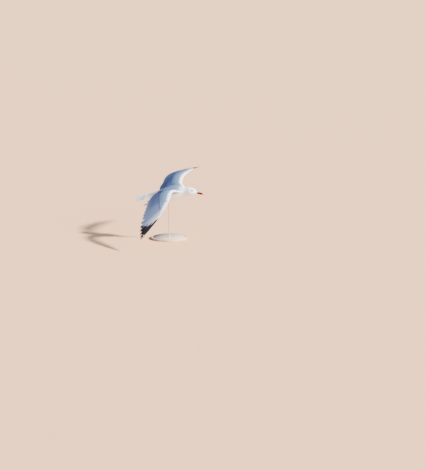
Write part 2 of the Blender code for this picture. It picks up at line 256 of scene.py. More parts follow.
steel = brushed_steel()
rod_profile = [(0, BASE_TOP), (ROD_RADIUS, BASE_TOP), (ROD_RADIUS, ROD_HIGH.z), (0, ROD_HIGH.z)]
rod = turned("stand_rod_steel", rod_profile, steel)
rod.data.set_sharp_from_angle(angle=math.radians(40))
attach(rod, "root")
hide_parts("stand_rod")
collar_profile = [
    (ROD_RADIUS, BASE_TOP),
    (COLLAR_RADIUS, BASE_TOP),
    *arc_points((COLLAR_RADIUS - 0.0012, BASE_TOP + 0.0024), 0.0012, 0, 90, 5),
    (ROD_RADIUS + 0.0022, BASE_TOP + 0.0042),
    *arc_points((ROD_RADIUS + 0.0012, BASE_TOP + COLLAR_HEIGHT - 0.001), 0.001, 0, 90, 5),
    (ROD_RADIUS, BASE_TOP + COLLAR_HEIGHT),
    (ROD_RADIUS, BASE_TOP),
]
collar = turned("stand_rod_collar", collar_profile, steel)
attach(collar, "root")


# ------------------------------------------------------------------------------------------ skin
# The bird's flesh and skin in one piece: head, neck, trunk, the fleshy front of both wings, and the
# thighs. It lies under the feathers by the depth of the coat. It is lofted, then merged into one.

# How the bird hangs in the air, and the station on its middle line that is over the rod.
PITCH = math.radians(8.5)
BANK = math.radians(17.5)
BIRD_HEIGHT = 0.318
ROD_STATION = -0.045
NECK_FRONT_X = 0.092
NECK_BACK_X = 0.050
OVAL_POWER = 0.92

# Stations along the plumage: x, top z, bottom z, half width, forward lean in degrees, coat depth.
BODY = np.array(
    [
        (0.1612, -0.0112, -0.0272, 0.0060, 11.0, 0.0002),
        (0.1560, -0.0090, -0.0265, 0.0068, 11.0, 0.0006),
        (0.1480, -0.0010, -0.0280, 0.0108, 10.0, 0.0010),
        (0.1390, 0.0078, -0.0296, 0.0156, 8.0, 0.0014),
        (0.1290, 0.0154, -0.0311, 0.0202, 6.0, 0.0018),
        (0.1180, 0.0210, -0.0323, 0.0238, 4.0, 0.0024),
        (0.1060, 0.0238, -0.0333, 0.0256, 2.0, 0.0032),
        (0.0930, 0.0247, -0.0346, 0.0263, 0.0, 0.0038),
        (0.0780, 0.0264, -0.0360, 0.0282, 0.0, 0.0044),
        (0.0600, 0.0312, -0.0380, 0.0332, 0.0, 0.0049),
        (0.0400, 0.0370, -0.0412, 0.0405, 0.0, 0.0053),
        (0.0150, 0.0398, -0.0472, 0.0480, 0.0, 0.0055),
        (-0.0150, 0.0390, -0.0520, 0.0520, 0.0, 0.0056),
        (-0.0450, 0.0360, -0.0510, 0.0510, 0.0, 0.0056),
        (-0.0750, 0.0310, -0.0460, 0.0455, 0.0, 0.0055),
        (-0.1050, 0.0240, -0.0385, 0.0370, 0.0, 0.0053),
        (-0.1350, 0.0158, -0.0338, 0.0296, 0.0, 0.0050),
        (-0.1600, 0.0088, -0.0282, 0.0262, 0.0, 0.0046),
        (-0.1850, 0.0010, -0.0238, 0.0320, 0.0, 0.0036),
        (-0.2100, -0.0052, -0.0212, 0.0386, 0.0, 0.0026),
    ]
)

# The wing laid flat: distance along the span, front edge x, rear edge x.
WING_OUTLINE = np.array(
    [
        (0.012, 0.043, -0.121),
        (0.052, 0.039, -0.131),
        (0.104, 0.035, -0.122),
        (0.150, 0.037, -0.123),
        (0.196, 0.042, -0.124),
        (0.257, 0.038, -0.122),
        (0.309, 0.031, -0.119),
        (0.372, 0.018, -0.110),
        (0.414, 0.006, -0.101),
        (0.467, -0.011, -0.087),
        (0.519, -0.029, -0.069),
        (0.550, -0.040, -0.0575),
        (0.568, -0.047, -0.0520),
    ]
)
# Along the span: slope and incidence in degrees, thickness and camber.
WING_SHAPE = np.array(
    [
        (0.012, 20.0, 5.0, 0.0170, 0.0090),
        (0.060, 20.0, 5.5, 0.0146, 0.0100),
        (0.105, 10.0, 5.5, 0.0122, 0.0105),
        (0.150, 0.0, 5.0, 0.0106, 0.0100),
        (0.196, -9.0, 4.0, 0.0090, 0.0085),
        (0.250, -15.5, 2.5, 0.0063, 0.0060),
        (0.330, -18.0, 1.0, 0.0036, 0.0040),
        (0.420, -19.5, 0.0, 0.0023, 0.0024),
        (0.500, -20.5, -1.0, 0.0016, 0.0012),
        (0.568, -20.5, -1.0, 0.0010, 0.0003),
    ]
)
WING_ROOT_Z = 0.0130
WING_END = 0.568
WING_SWING = 0.018  # how far the right wing is carried forward and the left one back, at mid-wing
SWING_FROM = 0.080
SWING_TO = 0.560
ROOT_FLARE = (0.024, 0.014, 0.004)  # how far the front edge sweeps forward, down, and thickens there
SWELL_MOST = 0.316  # the greatest value of the blade's swell, which its thickness is divided by
FLESH_END = 0.285  # the last joint of the wing's finger
FLESH_SHARE = 0.34  # of the chord, from the front edge
SKIN_VOXEL = 0.0024


def through(table, column, at):
    """A smooth curve through one column of a table, read at `at` in its first column. Each stretch is
    a cubic whose end slopes are the mean slopes of its neighbours."""
    x, y = table[:, 0], table[:, column]
    if x[0] > x[-1]:
        x, y = x[::-1], y[::-1]
    slope = np.gradient(y, x)
    at = np.clip(np.asarray(at, float), x[0], x[-1])
    i = np.clip(np.searchsorted(x, at, side="right") - 1, 0, len(x) - 2)
    step = x[i + 1] - x[i]
    t = (at - x[i]) / step
    ends = (2 * t**3 - 3 * t**2 + 1) * y[i] + (3 * t**2 - 2 * t**3) * y[i + 1]
    return ends + step * ((t**3 - 2 * t**2 + t) * slope[i] + (t**3 - t**2) * slope[i + 1])


def smooth_step(low, high, value):
    """0 below low, 1 above high, and an S curve between."""
    share = np.clip((value - low) / (high - low), 0, 1)
    return share * share * (3 - 2 * share)


def on_stand(points):
    """Points of the bird's own frame, pitched, banked and lifted onto the rod."""
    attitude = Matrix.Rotation(-PITCH, 3, "Y") @ Matrix.Rotation(BANK, 3, "X")
    lift = (-ROD_STATION * math.cos(PITCH), 0, BIRD_HEIGHT)
    return points @ np.array(attitude).T + lift


def squared(wave):
    """A sine or cosine pushed towards its ends, which squares the oval drawn with it."""
    return np.sign(wave) * np.abs(wave) ** OVAL_POWER


def body_middle(x):
    """Height of the body's middle line, a little below half way up."""
    return 0.45 * through(BODY, 1, x) + 0.55 * through(BODY, 2, x)


def head_level(points, x):
    """The neck twists against the bank, so the head stays level: each section is turned about the
    middle line by a share of the bank that grows smoothly along the neck."""
    turn = -BANK * smooth_step(NECK_BACK_X, NECK_FRONT_X, x)
    middle = body_middle(x)
    side, rise = points[..., 1].copy(), points[..., 2] - middle
    points[..., 1] = side * np.cos(turn) - rise * np.sin(turn)
    points[..., 2] = middle + side * np.sin(turn) + rise * np.cos(turn)
    return points


def body_surface(x, angle, height):
    """A point of the plumage at station x. The section is an oval with its own reach up, down and
    sideways; angle runs from the left side over the back. Height is outwards from the outer face."""
    top, bottom, half, lean = (through(BODY, column, x) for column in (1, 2, 3, 4))
    middle = body_middle(x)
    across, up = squared(np.cos(angle)), squared(np.sin(angle))
    rise = up * (np.where(up > 0, top - middle, middle - bottom) + height)
    tilt = np.radians(lean)
    parts = [x + rise * np.sin(tilt), (half + height) * across, middle + rise * np.cos(tilt)]
    return head_level(np.stack(parts, axis=-1), x)


def span_line():
    """How far out and how high the wing's front is, for each step along it: the slope summed up."""
    along = np.linspace(0.0, WING_END, 225)
    slope = np.radians(through(WING_SHAPE, 1, along))
    step = along[1] - along[0]
    out = np.concatenate([[0.0], np.cumsum(np.cos(slope[1:]) * step)])
    rise = WING_ROOT_Z + np.concatenate([[0.0], np.cumsum(np.sin(slope[1:]) * step)])
    return along, out, rise


SPAN = span_line()


def chord_at(along):
    """Width of the wing from its front to its rear edge."""
    return through(WING_OUTLINE, 1, along) - through(WING_OUTLINE, 2, along)


def wing_surface(side, along, back, face, height):
    """A point of the wing, `along` the span and `back` from its front edge. Face 1 is the upper side,
    -1 the lower and 0 the middle sheet; height is away from the middle. The section is a bent blade
    with a round front, turned by its incidence and set square to the slope of the span. Towards the
    body the front edge sweeps forward and down, as the skin between shoulder and neck does."""
    share = np.clip(back / chord_at(along), 0, 1)
    slope, incidence, thickness, camber = (through(WING_SHAPE, c, along) for c in (1, 2, 3, 4))
    flare = (1 - smooth_step(0.030, 0.080, along)) ** 2
    thickness = thickness + ROOT_FLARE[2] * flare
    flare = flare * (1 - share) ** 2
    swell = np.sqrt(share) * (1 - share) ** 1.6
    half_blade = thickness / 2 * swell / SWELL_MOST + 0.0005 * np.minimum(1, share * 12)
    rise = 4 * camber * share * (1 - share) + face * half_blade + height
    tilt, lean = np.radians(incidence), np.radians(slope)
    swing = -side * WING_SWING * np.sin(
        np.pi * np.clip((along - SWING_FROM) / (SWING_TO - SWING_FROM), 0, 1)
    )
    front = through(WING_OUTLINE, 1, along) + swing + ROOT_FLARE[0] * flare
    x = front - back * np.cos(tilt) - rise * np.sin(tilt)
    lift = -back * np.sin(tilt) + rise * np.cos(tilt) - ROOT_FLARE[1] * flare
    out = np.interp(along, SPAN[0], SPAN[1]) - lift * np.sin(lean)
    up = np.interp(along, SPAN[0], SPAN[2]) + lift * np.cos(lean)
    return np.stack([x, side * out, up], axis=-1)


def closed_loft(rings):
    """A run of closed sections, given as rows of points, with both ends drawn into their middles."""
    columns = rings.shape[1]
    first, last = (np.tile(ring.mean(axis=0), (1, columns, 1)) for ring in (rings[0], rings[-1]))
    points = np.concatenate([first, rings, last])
    return points.reshape(-1, 3), grid_faces(len(points), columns, True)


def skin_body():
    """The body's sections drawn in by the coat's depth, and closed at the face and the tail root."""
    x = np.concatenate([np.linspace(0.156, -0.180, 90), [-0.188, -0.192]])
    grid_x, grid_angle = np.meshgrid(x, full_turn(48), indexing="ij")
    rings = body_surface(grid_x, grid_angle, -through(BODY, 5, grid_x))
    middle = rings[-1].mean(axis=0)
    rings[-1] = middle + (rings[-1] - middle) * 0.55
    return closed_loft(rings)


def skin_wing(side):
    """The arm and finger of a wing: a loft of sections round the fleshy front part of the chord."""
    s, t = np.meshgrid(np.linspace(0.014, FLESH_END, 60), full_turn(28), indexing="ij")
    taper = 1 - 0.55 * smooth_step(0.20, FLESH_END, s)
    back = chord_at(s) * FLESH_SHARE * taper * (0.5 - 0.5 * np.cos(t)) + 0.002
    face = 0.80 * np.sign(np.sin(t)) * np.sqrt(np.abs(np.sin(t)))
    return closed_loft(wing_surface(side, s, back, face, 0.0))


THIGH_TOP = np.array([-0.070, 0.019, -0.022])
HEEL = np.array([-0.135, 0.021, -0.0385])
HEEL_RADIUS = 0.0024
THIGH_SWELL = 0.0105  # how much thicker the drumstick is at the hip


def thigh_surface(side, share, turn, height):
    """A point of the drumstick between hip and heel: round sections that narrow towards the heel."""
    hip, heel = THIGH_TOP * (1, side, 1), HEEL * (1, side, 1)
    radius = THIGH_SWELL * np.clip(1 - share, 0, 1) ** 0.8 + HEEL_RADIUS + height
    along = (heel - hip) / np.linalg.norm(heel - hip)
    across = np.cross(along, (0, 0, 1))
    across /= np.linalg.norm(across)
    deep = np.cross(across, along)
    ring = np.cos(turn)[..., None] * across + np.sin(turn)[..., None] * deep
    return hip + share[..., None] * (heel - hip) + radius[..., None] * ring


def skin_thigh(side):
    """The drumstick, closed at hip and heel."""
    share, turn = np.meshgrid(np.linspace(0, 1, 20), full_turn(20), indexing="ij")
    return closed_loft(thigh_surface(side, share, turn, 0.0))


WHITE = np.array([0.80, 0.815, 0.83])
# The mantle's pearl grey with painted blue shade in it: darker and bluer than the real grey.
PEARL_GREY_WITH_SHADE = np.array([0.120, 0.182, 0.305])


def mantle_share(points):
    """How grey the trunk's plumage is at points of the bird's frame, from 0 to 1: it is grey on the
    back between neck and rump, and fades out round the sides and beyond the roots of the wings."""
    x, y, z = points[..., 0], np.abs(points[..., 1]), points[..., 2]
    reach = np.maximum(through(BODY, 1, x) - body_middle(x), 1e-4)
    up = (z - body_middle(x)) / reach
    along_body = smooth_step(0.075, 0.030, x) * smooth_step(-0.128, -0.108, x)
    back = along_body * smooth_step(0.18, 0.52, up)
    return back * smooth_step(0.075, 0.055, y)


def bare_skin():
    """Matt pale skin whose marking follows the plumage over it, with a fine pebbled relief."""
    material, tree, shader = new_material("skin", 0.7)
    marking = node(tree, "ShaderNodeAttribute", attribute_name="plumage")
    pebbles = texture_node(tree, "ShaderNodeTexVoronoi", Scale=900.0)
    tree.links.new(marking.outputs["Color"], shader.inputs["Base Color"])
    bump_node(tree, shader, pebbles.outputs["Distance"], 0.0002, 0.5)
    return material


def set_plumage(mesh, colours):
    """Stores one colour for each vertex."""
    layer = mesh.color_attributes.new("plumage", "FLOAT_COLOR", "POINT")
    layer.data.foreach_set("color", np.concatenate([colours, np.ones((len(colours), 1))], 1).ravel())


def put_together(shells):
    """Several closed shells in one list of points and one of faces."""
    starts = np.cumsum([0] + [len(points) for points, _ in shells])
    faces = [faces + start for (_, faces), start in zip(shells, starts)]
    return np.concatenate([points for points, _ in shells]), np.concatenate(faces)


def vertex_places(mesh):
    """The places of a mesh's vertices, one in each row."""
    places = np.empty(len(mesh.vertices) * 3)
    mesh.vertices.foreach_get("co", places)
    return places.reshape(-1, 3)


skin = mesh_piece(
    "skin",
    *put_together(
        [skin_body(), *(skin_wing(s) for s in (1, -1)), *(skin_thigh(s) for s in (1, -1))]
    ),
)
merge = skin.modifiers.new("merge", "REMESH")
merge.mode = "VOXEL"
merge.voxel_size = SKIN_VOXEL
settle = skin.modifiers.new("settle", "SMOOTH")
settle.iterations = 4
settle.factor = 0.5
evaluated = skin.evaluated_get(bpy.context.evaluated_depsgraph_get())
merged = bpy.data.meshes.new_from_object(evaluated)
skin.modifiers.clear()
skin.data = merged
places = vertex_places(merged)
grey = mantle_share(places)[:, None]
merged.vertices.foreach_set("co", on_stand(places).ravel())
set_plumage(merged, WHITE * (1 - grey) + PEARL_GREY_WITH_SHADE * grey)
merged.shade_smooth()
merged.materials.append(bare_skin())
merged.update()
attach(skin, "root")
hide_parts("head", "neck", "trunk", "thigh_left", "thigh_right")


# ------------------------------------------------------------------------------------------ bill
# Two halves of horn over bone, the upper one hooked over the lower. Horn grows over the bone in one
# sheath, so each half is a single closed loft. Deep red, with a black band before a paler tip.

BILL_BASE_X = 0.156
BILL_LENGTH = 0.048
BILL_DROP = math.radians(14)
BILL_GAP = 0.0003
LOWER_WIDTH = 0.88  # of the upper half's
# The nostril: share of the length and radians from the ridge, each with its half size, and its depth.
NOSTRIL_ALONG = (0.36, 0.060)
NOSTRIL_AROUND = (0.80, 0.10)
NOSTRIL_DEPTH = 0.22
# Share of the bill's length, then the heights of ridge, cutting edge and keel, and half the width.
BILL = np.array(
    [
        (0.00, 0.0080, -0.0008, -0.0076, 0.0062),
        (0.18, 0.0079, -0.0010, -0.0073, 0.0054),
        (0.40, 0.0073, -0.0014, -0.0072, 0.0047),
        (0.58, 0.0066, -0.0019, -0.0078, 0.0043),
        (0.70, 0.0060, -0.0024, -0.0078, 0.0039),
        (0.82, 0.0046, -0.0031, -0.0068, 0.0032),
        (0.92, 0.0022, -0.0044, -0.0056, 0.0022),
        (1.00, -0.0038, -0.0078, -0.0050, 0.0008),
    ]
)
BILL_RED = (0.20, 0.018, 0.013)
BILL_BLACK = (0.022, 0.012, 0.011)
BILL_TIP = (0.34, 0.08, 0.025)


def bill_half(upper, shares):
    """One half of the bill: an arc over (1) or under (-1) the cutting edge, closed by a shallow
    trough between the edges. The nostril is a slit pressed into the side of the upper half."""
    turn = np.linspace(0, np.pi, 41)
    share, angle = np.meshgrid(shares, turn, indexing="ij")
    ridge, edge, keel, half = (through(BILL, column, share) for column in (1, 2, 3, 4))
    reach = ridge - edge if upper > 0 else edge - keel
    wide = half if upper > 0 else half * LOWER_WIDTH
    slit_share, slit_length = NOSTRIL_ALONG
    slit_angle, slit_height = NOSTRIL_AROUND
    slit = np.exp(-(((share - slit_share) / slit_length) ** 4)) if upper > 0 else 0 * share
    slit = slit * np.exp(-(((np.abs(angle - np.pi / 2) - slit_angle) / slit_height) ** 2))
    shrink = 1 - NOSTRIL_DEPTH * slit
    across = wide * np.cos(angle) * shrink
    lift = reach * np.sin(angle) ** 0.85 * shrink
    trough = np.tile(np.linspace(1, -1, 11)[1:-1], (len(shares), 1))
    across = np.concatenate([across, -trough * wide[:, :1] * 0.94], axis=1)
    hollow = 0.30 * reach[:, :1] * (1 - trough**4) * smooth_step(0, 0.1, shares)[:, None]
    lift = np.concatenate([lift, hollow * (1 - smooth_step(0.75, 0.95, shares))[:, None]], axis=1)
    height = edge[:, :1] + upper * (BILL_GAP / 2 + lift)
    along = np.broadcast_to(share[:, :1] * BILL_LENGTH, across.shape)
    x = along * math.cos(BILL_DROP) + height * math.sin(BILL_DROP)
    z = -along * math.sin(BILL_DROP) + height * math.cos(BILL_DROP)
    rings = np.stack([BILL_BASE_X + x, across, body_middle(BILL_BASE_X) + z], axis=-1)
    points, faces = closed_loft(rings)
    return head_level(points, BILL_BASE_X), faces


def set_number(mesh, name, values):
    """Stores one number for each vertex."""
    mesh.attributes.new(name, "FLOAT", "POINT").data.foreach_set("value", np.asarray(values, float))


def clamp_node(tree, value):
    """A value held between 0 and 1."""
    clamp = node(tree, "ShaderNodeClamp")
    tree.links.new(value, clamp.inputs[0])
    return clamp.outputs[0]


def horn():
    """Satin horn. Its colours follow the share of the bill's length, with a little wander, and its
    relief is of fine growth lines along it."""
    material, tree, shader = new_material("bill_horn", 0.38)
    shader.inputs["Specular IOR Level"].default_value = 0.3
    share = node(tree, "ShaderNodeAttribute", attribute_name="share")
    wander = texture_node(tree, "ShaderNodeTexNoise", Scale=420.0, Detail=3.0)
    place = math_node(tree, "MULTIPLY_ADD", wander.outputs["Fac"], 0.05, share.outputs["Fac"])
    ramp = math_node(tree, "MULTIPLY_ADD", place, 12.0, -7.4)
    into_black = clamp_node(tree, math_node(tree, "SMOOTH_MIN", ramp, 1.0, 0.2))
    into_tip = clamp_node(tree, math_node(tree, "MULTIPLY_ADD", place, 22.0, -20.6))
    red = blend_node(tree, wander.outputs["Fac"], BILL_RED, tuple(0.7 * c for c in BILL_RED))
    banded = blend_node(tree, into_black, red, BILL_BLACK)
    tree.links.new(blend_node(tree, into_tip, banded, BILL_TIP), shader.inputs["Base Color"])
    bump_node(tree, shader, wander.outputs["Fac"], 0.0001, 0.25)
    return material


bill_finish = horn()
for word, upper, last in (("upper", 1, 1.0), ("lower", -1, 0.9)):
    shares = last - (last + 0.07) * np.linspace(1, 0, 64) ** 1.15
    points, faces = bill_half(upper, shares)
    half_bill = mesh_piece(f"bill_{word}_horn", on_stand(points), faces, bill_finish)
    axis = np.array([[0, 0, 0], [math.cos(BILL_DROP), 0, -math.sin(BILL_DROP)]]) * BILL_LENGTH
    ends = (BILL_BASE_X, 0, body_middle(BILL_BASE_X)) + axis
    first, far = on_stand(head_level(ends, BILL_BASE_X))
    run = (vertex_places(half_bill.data) - first) @ (far - first) / ((far - first) @ (far - first))
    set_number(half_bill.data, "share", run)
    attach(half_bill, "root")
    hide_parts(f"bill_{word}")


# ------------------------------------------------------------------------------------------ eyes
# Dark glossy eyes, each a ball with a slightly bulging cornea, set into the side of the head between
# two lids whose rims form a narrow red ring. The ball is sculpted apart from the ring.

EYE_PLACE = np.array([0.1320, 0.0123, 0.0012])
EYE_RADIUS = 0.0066
EYE_GAZE = np.array([0.28, 1.0, 0.17])
EYE_OPENING = math.radians(44.5)
IRIS_BROWN = (0.015, 0.007, 0.004)
RING_RED = BILL_RED
RING_WIDTH = 7.0  # degrees beyond the opening, after which the red fades
RING_FADE = 4.0


def about_eye(side, radius, angle, turn):
    """Points about one eye, by distance from its middle, angle from its gaze, and turn about that."""
    gaze = EYE_GAZE / np.linalg.norm(EYE_GAZE)
    ahead = np.cross((0, 0, 1), gaze)
    ahead /= np.linalg.norm(ahead)
    over = np.cross(gaze, ahead)
    ring = np.cos(turn)[..., None] * ahead + np.sin(turn)[..., None] * over
    points = np.cos(angle)[..., None] * gaze + np.sin(angle)[..., None] * ring
    points = (EYE_PLACE + radius[..., None] * points) * (1, side, 1)
    return head_level(points, EYE_PLACE[0])


def eye_ball(side):
    """A ball with a cornea: the radius swells a little about the gaze."""
    angle, turn = np.meshgrid(np.linspace(0, np.pi, 40), full_turn(56), indexing="ij")
    radius = EYE_RADIUS * (0.985 + 0.045 * np.exp(-((angle / 0.50) ** 2)))
    return about_eye(side, radius, angle, turn), grid_faces(40, 56, True)


def eye_lids(side):
    """A closed ring whose section runs from the rim that touches the ball, over a rounded ridge, to
    a skirt under the feathers and back. The opening is a little longer than high."""
    # Degrees beyond the opening, and metres over the ball.
    section = np.array(
        [
            (-1.0, 0.00000), (0.0, 0.00022), (1.5, 0.00044), (4.0, 0.00058), (6.5, 0.00054),
            (8.5, 0.00036), (10.5, 0.00026), (15.0, 0.00026), (22.0, 0.00022), (30.0, 0.00010),
            (40.0, -0.00030), (40.0, -0.00130), (20.0, -0.00100), (3.0, -0.00060),
        ]
    )
    row, turn = np.meshgrid(np.arange(len(section)), full_turn(72), indexing="ij")
    opening = EYE_OPENING * (1 + 0.055 * np.cos(2 * turn) - 0.02 * np.cos(turn))
    angle = opening + np.radians(section[row, 0])
    radius = EYE_RADIUS + section[row, 1]
    points = about_eye(side, radius, angle, turn)
    return np.concatenate([points, points[:1]]), grid_faces(len(section) + 1, 72, True)


def eye_line(side):
    """The middle of one eye, and the place a metre out along its gaze."""
    one, none = np.array(1.0), np.array(0.0)
    return about_eye(side, none, none, none), about_eye(side, one, none, none)


def off_gaze(mesh, side):
    """The angle of each vertex from the gaze, seen from the middle of the eye."""
    middle, ahead = (on_stand(place) for place in eye_line(side))
    offsets, gaze = vertex_places(mesh) - middle, ahead - middle
    toward = offsets @ gaze / np.linalg.norm(offsets, axis=1) / np.linalg.norm(gaze)
    return np.arccos(np.clip(toward, -1, 1))


def eye_surface():
    """Black pupil, dark brown iris with spokes and a paler outer rim, under one clear wet coat."""
    material, tree, shader = new_material("eye", 0.45)
    shader.inputs["Specular IOR Level"].default_value = 0.1
    shader.inputs["Coat Weight"].default_value = 1.0
    shader.inputs["Coat Roughness"].default_value = 0.02
    shader.inputs["Coat IOR"].default_value = 1.33
    angle = node(tree, "ShaderNodeAttribute", attribute_name="from_gaze")
    spokes = texture_node(tree, "ShaderNodeTexNoise", Scale=1400.0, Detail=2.0)
    ramp = node(tree, "ShaderNodeValToRGB")
    ramp.color_ramp.elements[0].position = 0.27
    ramp.color_ramp.elements[0].color = (0.002, 0.002, 0.002, 1)
    ramp.color_ramp.elements[1].position = 0.33
    ramp.color_ramp.elements[1].color = (*IRIS_BROWN, 1)
    rim = ramp.color_ramp.elements.new(0.70)
    rim.color = (0.012, 0.007, 0.004, 1)
    tree.links.new(angle.outputs["Fac"], ramp.inputs["Fac"])
    shaded = blend_node(tree, spokes.outputs["Fac"], ramp.outputs["Color"], (0.010, 0.006, 0.004))
    tree.links.new(shaded, shader.inputs["Base Color"])
    return material


def lid_skin():
    """Bare red rims that fade into white-feathered skin away from the eye, finely wrinkled."""
    material, tree, shader = new_material("lid_skin", 0.5)
    rim = node(tree, "ShaderNodeAttribute", attribute_name="rim")
    wrinkles = texture_node(tree, "ShaderNodeTexNoise", Scale=1900.0, Detail=2.0)
    red = clamp_node(tree, math_node(tree, "MULTIPLY", rim.outputs["Fac"], 2.2))
    skin_white = tuple(float(c) * 0.93 for c in WHITE)
    tree.links.new(blend_node(tree, red, skin_white, RING_RED), shader.inputs["Base Color"])
    bump_node(tree, shader, wrinkles.outputs["Fac"], 0.0001, 0.6)
    return material


eye_finish = eye_surface()
lid_finish = lid_skin()
for word, side in (("left", 1), ("right", -1)):
    points, faces = eye_ball(side)
    ball = mesh_piece(f"eye_{word}_ball", on_stand(points), faces, eye_finish)
    set_number(ball.data, "from_gaze", off_gaze(ball.data, side))
    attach(ball, "root")
    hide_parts(f"eye_{word}")
    points, faces = eye_lids(side)
    lids = mesh_piece(f"lids_{word}", on_stand(points), faces, lid_finish)
    beyond = np.degrees(off_gaze(lids.data, side) - EYE_OPENING)
    set_number(lids.data, "rim", np.clip(1 - (beyond - RING_WIDTH) / RING_FADE, 0, 1))
    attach(lids, "root")


# ------------------------------------------------------------------------------------------ legs
# Bare scaly legs stretched out behind under the tail, with the toes and their webs folded together.
# Tarsus, toes and webs are one run of skin; the claws are horn. Dark grey-olive.

TOE_ROOT = np.array([-0.189, 0.023, -0.0465])
TOE_TIP = np.array([-0.239, 0.025, -0.0640])
INTO_THIGH = (0.006, 0, 0.0018)  # where the tarsus starts, from the heel
WEB_THICKNESS = 0.00055
CLAW_LENGTH = 0.0052
CLAW_DROP = 0.0022
LEG_OLIVE = (0.034, 0.033, 0.029)
# Length, sideways spread at the tip, and drop, of the inner, middle and outer toe.
TOES = ((0.044, -0.0072, 0.0022), (0.0515, 0.0, 0.0), (0.048, 0.0074, 0.0018))


def tube(path, wide, deep, sides=16):
    """An oval section carried along a path of points, closed at both ends."""
    along = np.gradient(path, axis=0)
    along /= np.linalg.norm(along, axis=1)[:, None]
    across = np.cross(along, (0, 0, 1))
    across /= np.linalg.norm(across, axis=1)[:, None]
    over = np.cross(across, along)
    turn = full_turn(sides)
    ring = wide[:, None, None] * np.cos(turn)[None, :, None] * across[:, None]
    ring = ring + deep[:, None, None] * np.sin(turn)[None, :, None] * over[:, None]
    return closed_loft(path[:, None] + ring)


def toe_path(side, length, spread, drop, share):
    """The line of a toe: it leaves the joint, spreads a little from its neighbours, and droops."""
    root, tip = TOE_ROOT * (1, side, 1), TOE_TIP * (1, side, 1)
    along = (tip - root) / np.linalg.norm(tip - root)
    bow = 0.15 * np.clip(share * 6, 0, 1) + 0.85 * smooth_step(0.0, 0.9, share)
    path = root + share[:, None] * length * along
    path[:, 1] += side * spread * bow
    path[:, 2] -= drop * bow + 0.0012 * share**2
    return path


def leg_shells(side):
    """Tarsus with its two joints, hind toe, three toes with knuckles, and two folded webs."""
    share = np.linspace(0, 1, 40)
    start, end = HEEL * (1, side, 1), TOE_ROOT * (1, side, 1)
    path = (start + INTO_THIGH) + share[:, None] * (end - start - INTO_THIGH)
    heel_knob = 0.0013 * np.exp(-(((share - 0.10) / 0.08) ** 2))
    knob = heel_knob + 0.0009 * np.exp(-(((share - 0.98) / 0.07) ** 2))
    shells = [tube(path, 0.0019 + knob * 0.8, 0.0022 + knob)]
    hind = end + np.linspace(0, 1, 8)[:, None] * np.array([-0.0065, -0.001 * side, 0.0016])
    radius = np.linspace(0.0011, 0.0004, 8)
    shells.append(tube(hind, radius, radius, 10))
    paths = []
    for length, spread, drop in TOES:
        share = np.linspace(-0.04, 1, 36)
        path = toe_path(side, length, spread, drop, share)
        paths.append(path)
        knuckle = 1 + 0.13 * np.cos(2 * np.pi * share * 3.0) ** 3
        radius = np.interp(share, [0, 0.5, 0.94, 1.0], [0.0026, 0.0024, 0.0020, 0.0011]) * knuckle
        shells.append(tube(path, radius * 0.9, radius, 12))
    for first, second in ((paths[0], paths[1]), (paths[1], paths[2])):
        over = np.linspace(0, 1, 9)[None, :, None]
        sheet = first[2:-3, None] * (1 - over) + second[2:-3, None] * over
        sheet[..., 2] -= 0.0016 * np.sin(np.pi * over[..., 0]) * np.linspace(0.4, 1, len(sheet))[:, None]
        under = sheet - (0, 0, WEB_THICKNESS)
        shells.append(closed_loft(np.concatenate([sheet, under[:, ::-1]], axis=1)))
    return shells


def claw_shells(side):
    """A curved, pointed claw at the end of each toe."""
    shells = []
    for length, spread, drop in TOES:
        share = np.linspace(0, 1, 12)
        start = toe_path(side, length, spread, drop, np.array([0.97, 1.0]))
        along = (start[1] - start[0]) / np.linalg.norm(start[1] - start[0])
        path = start[0] + share[:, None] * along * CLAW_LENGTH
        path[:, 2] -= CLAW_DROP * share**2
        radius = 0.0010 * (1 - share) ** 0.8 + 0.00008
        shells.append(tube(path, radius * 0.8, radius, 10))
    return shells


def scaly_skin():
    """Dark leg skin divided into scales by cells, darker in the seams between them."""
    material, tree, shader = new_material("leg_skin", 0.55)
    cells = texture_node(tree, "ShaderNodeTexVoronoi", Scale=620.0, feature="DISTANCE_TO_EDGE")
    scale = clamp_node(tree, math_node(tree, "MULTIPLY", cells.outputs["Distance"], 5.0))
    colour = blend_node(tree, scale, tuple(0.55 * c for c in LEG_OLIVE), LEG_OLIVE)
    tree.links.new(colour, shader.inputs["Base Color"])
    bump_node(tree, shader, scale, 0.0002, 0.8)
    return material


def claw_horn():
    """Black horn, a little paler where noise has scuffed it."""
    material, tree, shader = new_material("claw_horn", 0.35)
    scuffs = texture_node(tree, "ShaderNodeTexNoise", Scale=800.0, Detail=3.0)
    colour = blend_node(tree, scuffs.outputs["Fac"], (0.010, 0.009, 0.008), (0.035, 0.030, 0.026))
    tree.links.new(colour, shader.inputs["Base Color"])
    return material


leg_finish = scaly_skin()
claw_finish = claw_horn()
for word, side in (("left", 1), ("right", -1)):
    points, faces = put_together(leg_shells(side))
    leg = mesh_piece(f"leg_{word}", on_stand(points), faces, leg_finish)
    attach(leg, "root")
    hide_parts(f"tarsus_{word}", f"foot_{word}")
    points, faces = put_together(claw_shells(side))
    claws = mesh_piece(f"claws_{word}", on_stand(points), faces, claw_finish)
    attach(claws, "root")


# ------------------------------------------------------------------------------------------ tail
# Twelve white tail feathers in a half-open fan, the middle pair on top, painted a little darker and
# bluer than white as blue shade. Each is a stiff shaft with a vane on either side, and sits in the
# tail root between the coverts above and below.

# Stations along the tail: x, height of its middle, half width.
TAIL = np.array(
    [
        (-0.1600, -0.0097, 0.0262),
        (-0.1850, -0.0115, 0.0322),
        (-0.2150, -0.0133, 0.0404),
        (-0.2500, -0.0160, 0.0486),
        (-0.2740, -0.0178, 0.0532),
        (-0.2870, -0.0187, 0.0535),
    ]
)
TAIL_FEATHER_ROOT = -0.168
TAIL_FEATHER_TIP = -0.2868  # of the middle pair
TAIL_FEATHER_RISE = 0.0018  # how far the fan lies over the middle of the tail's sheet
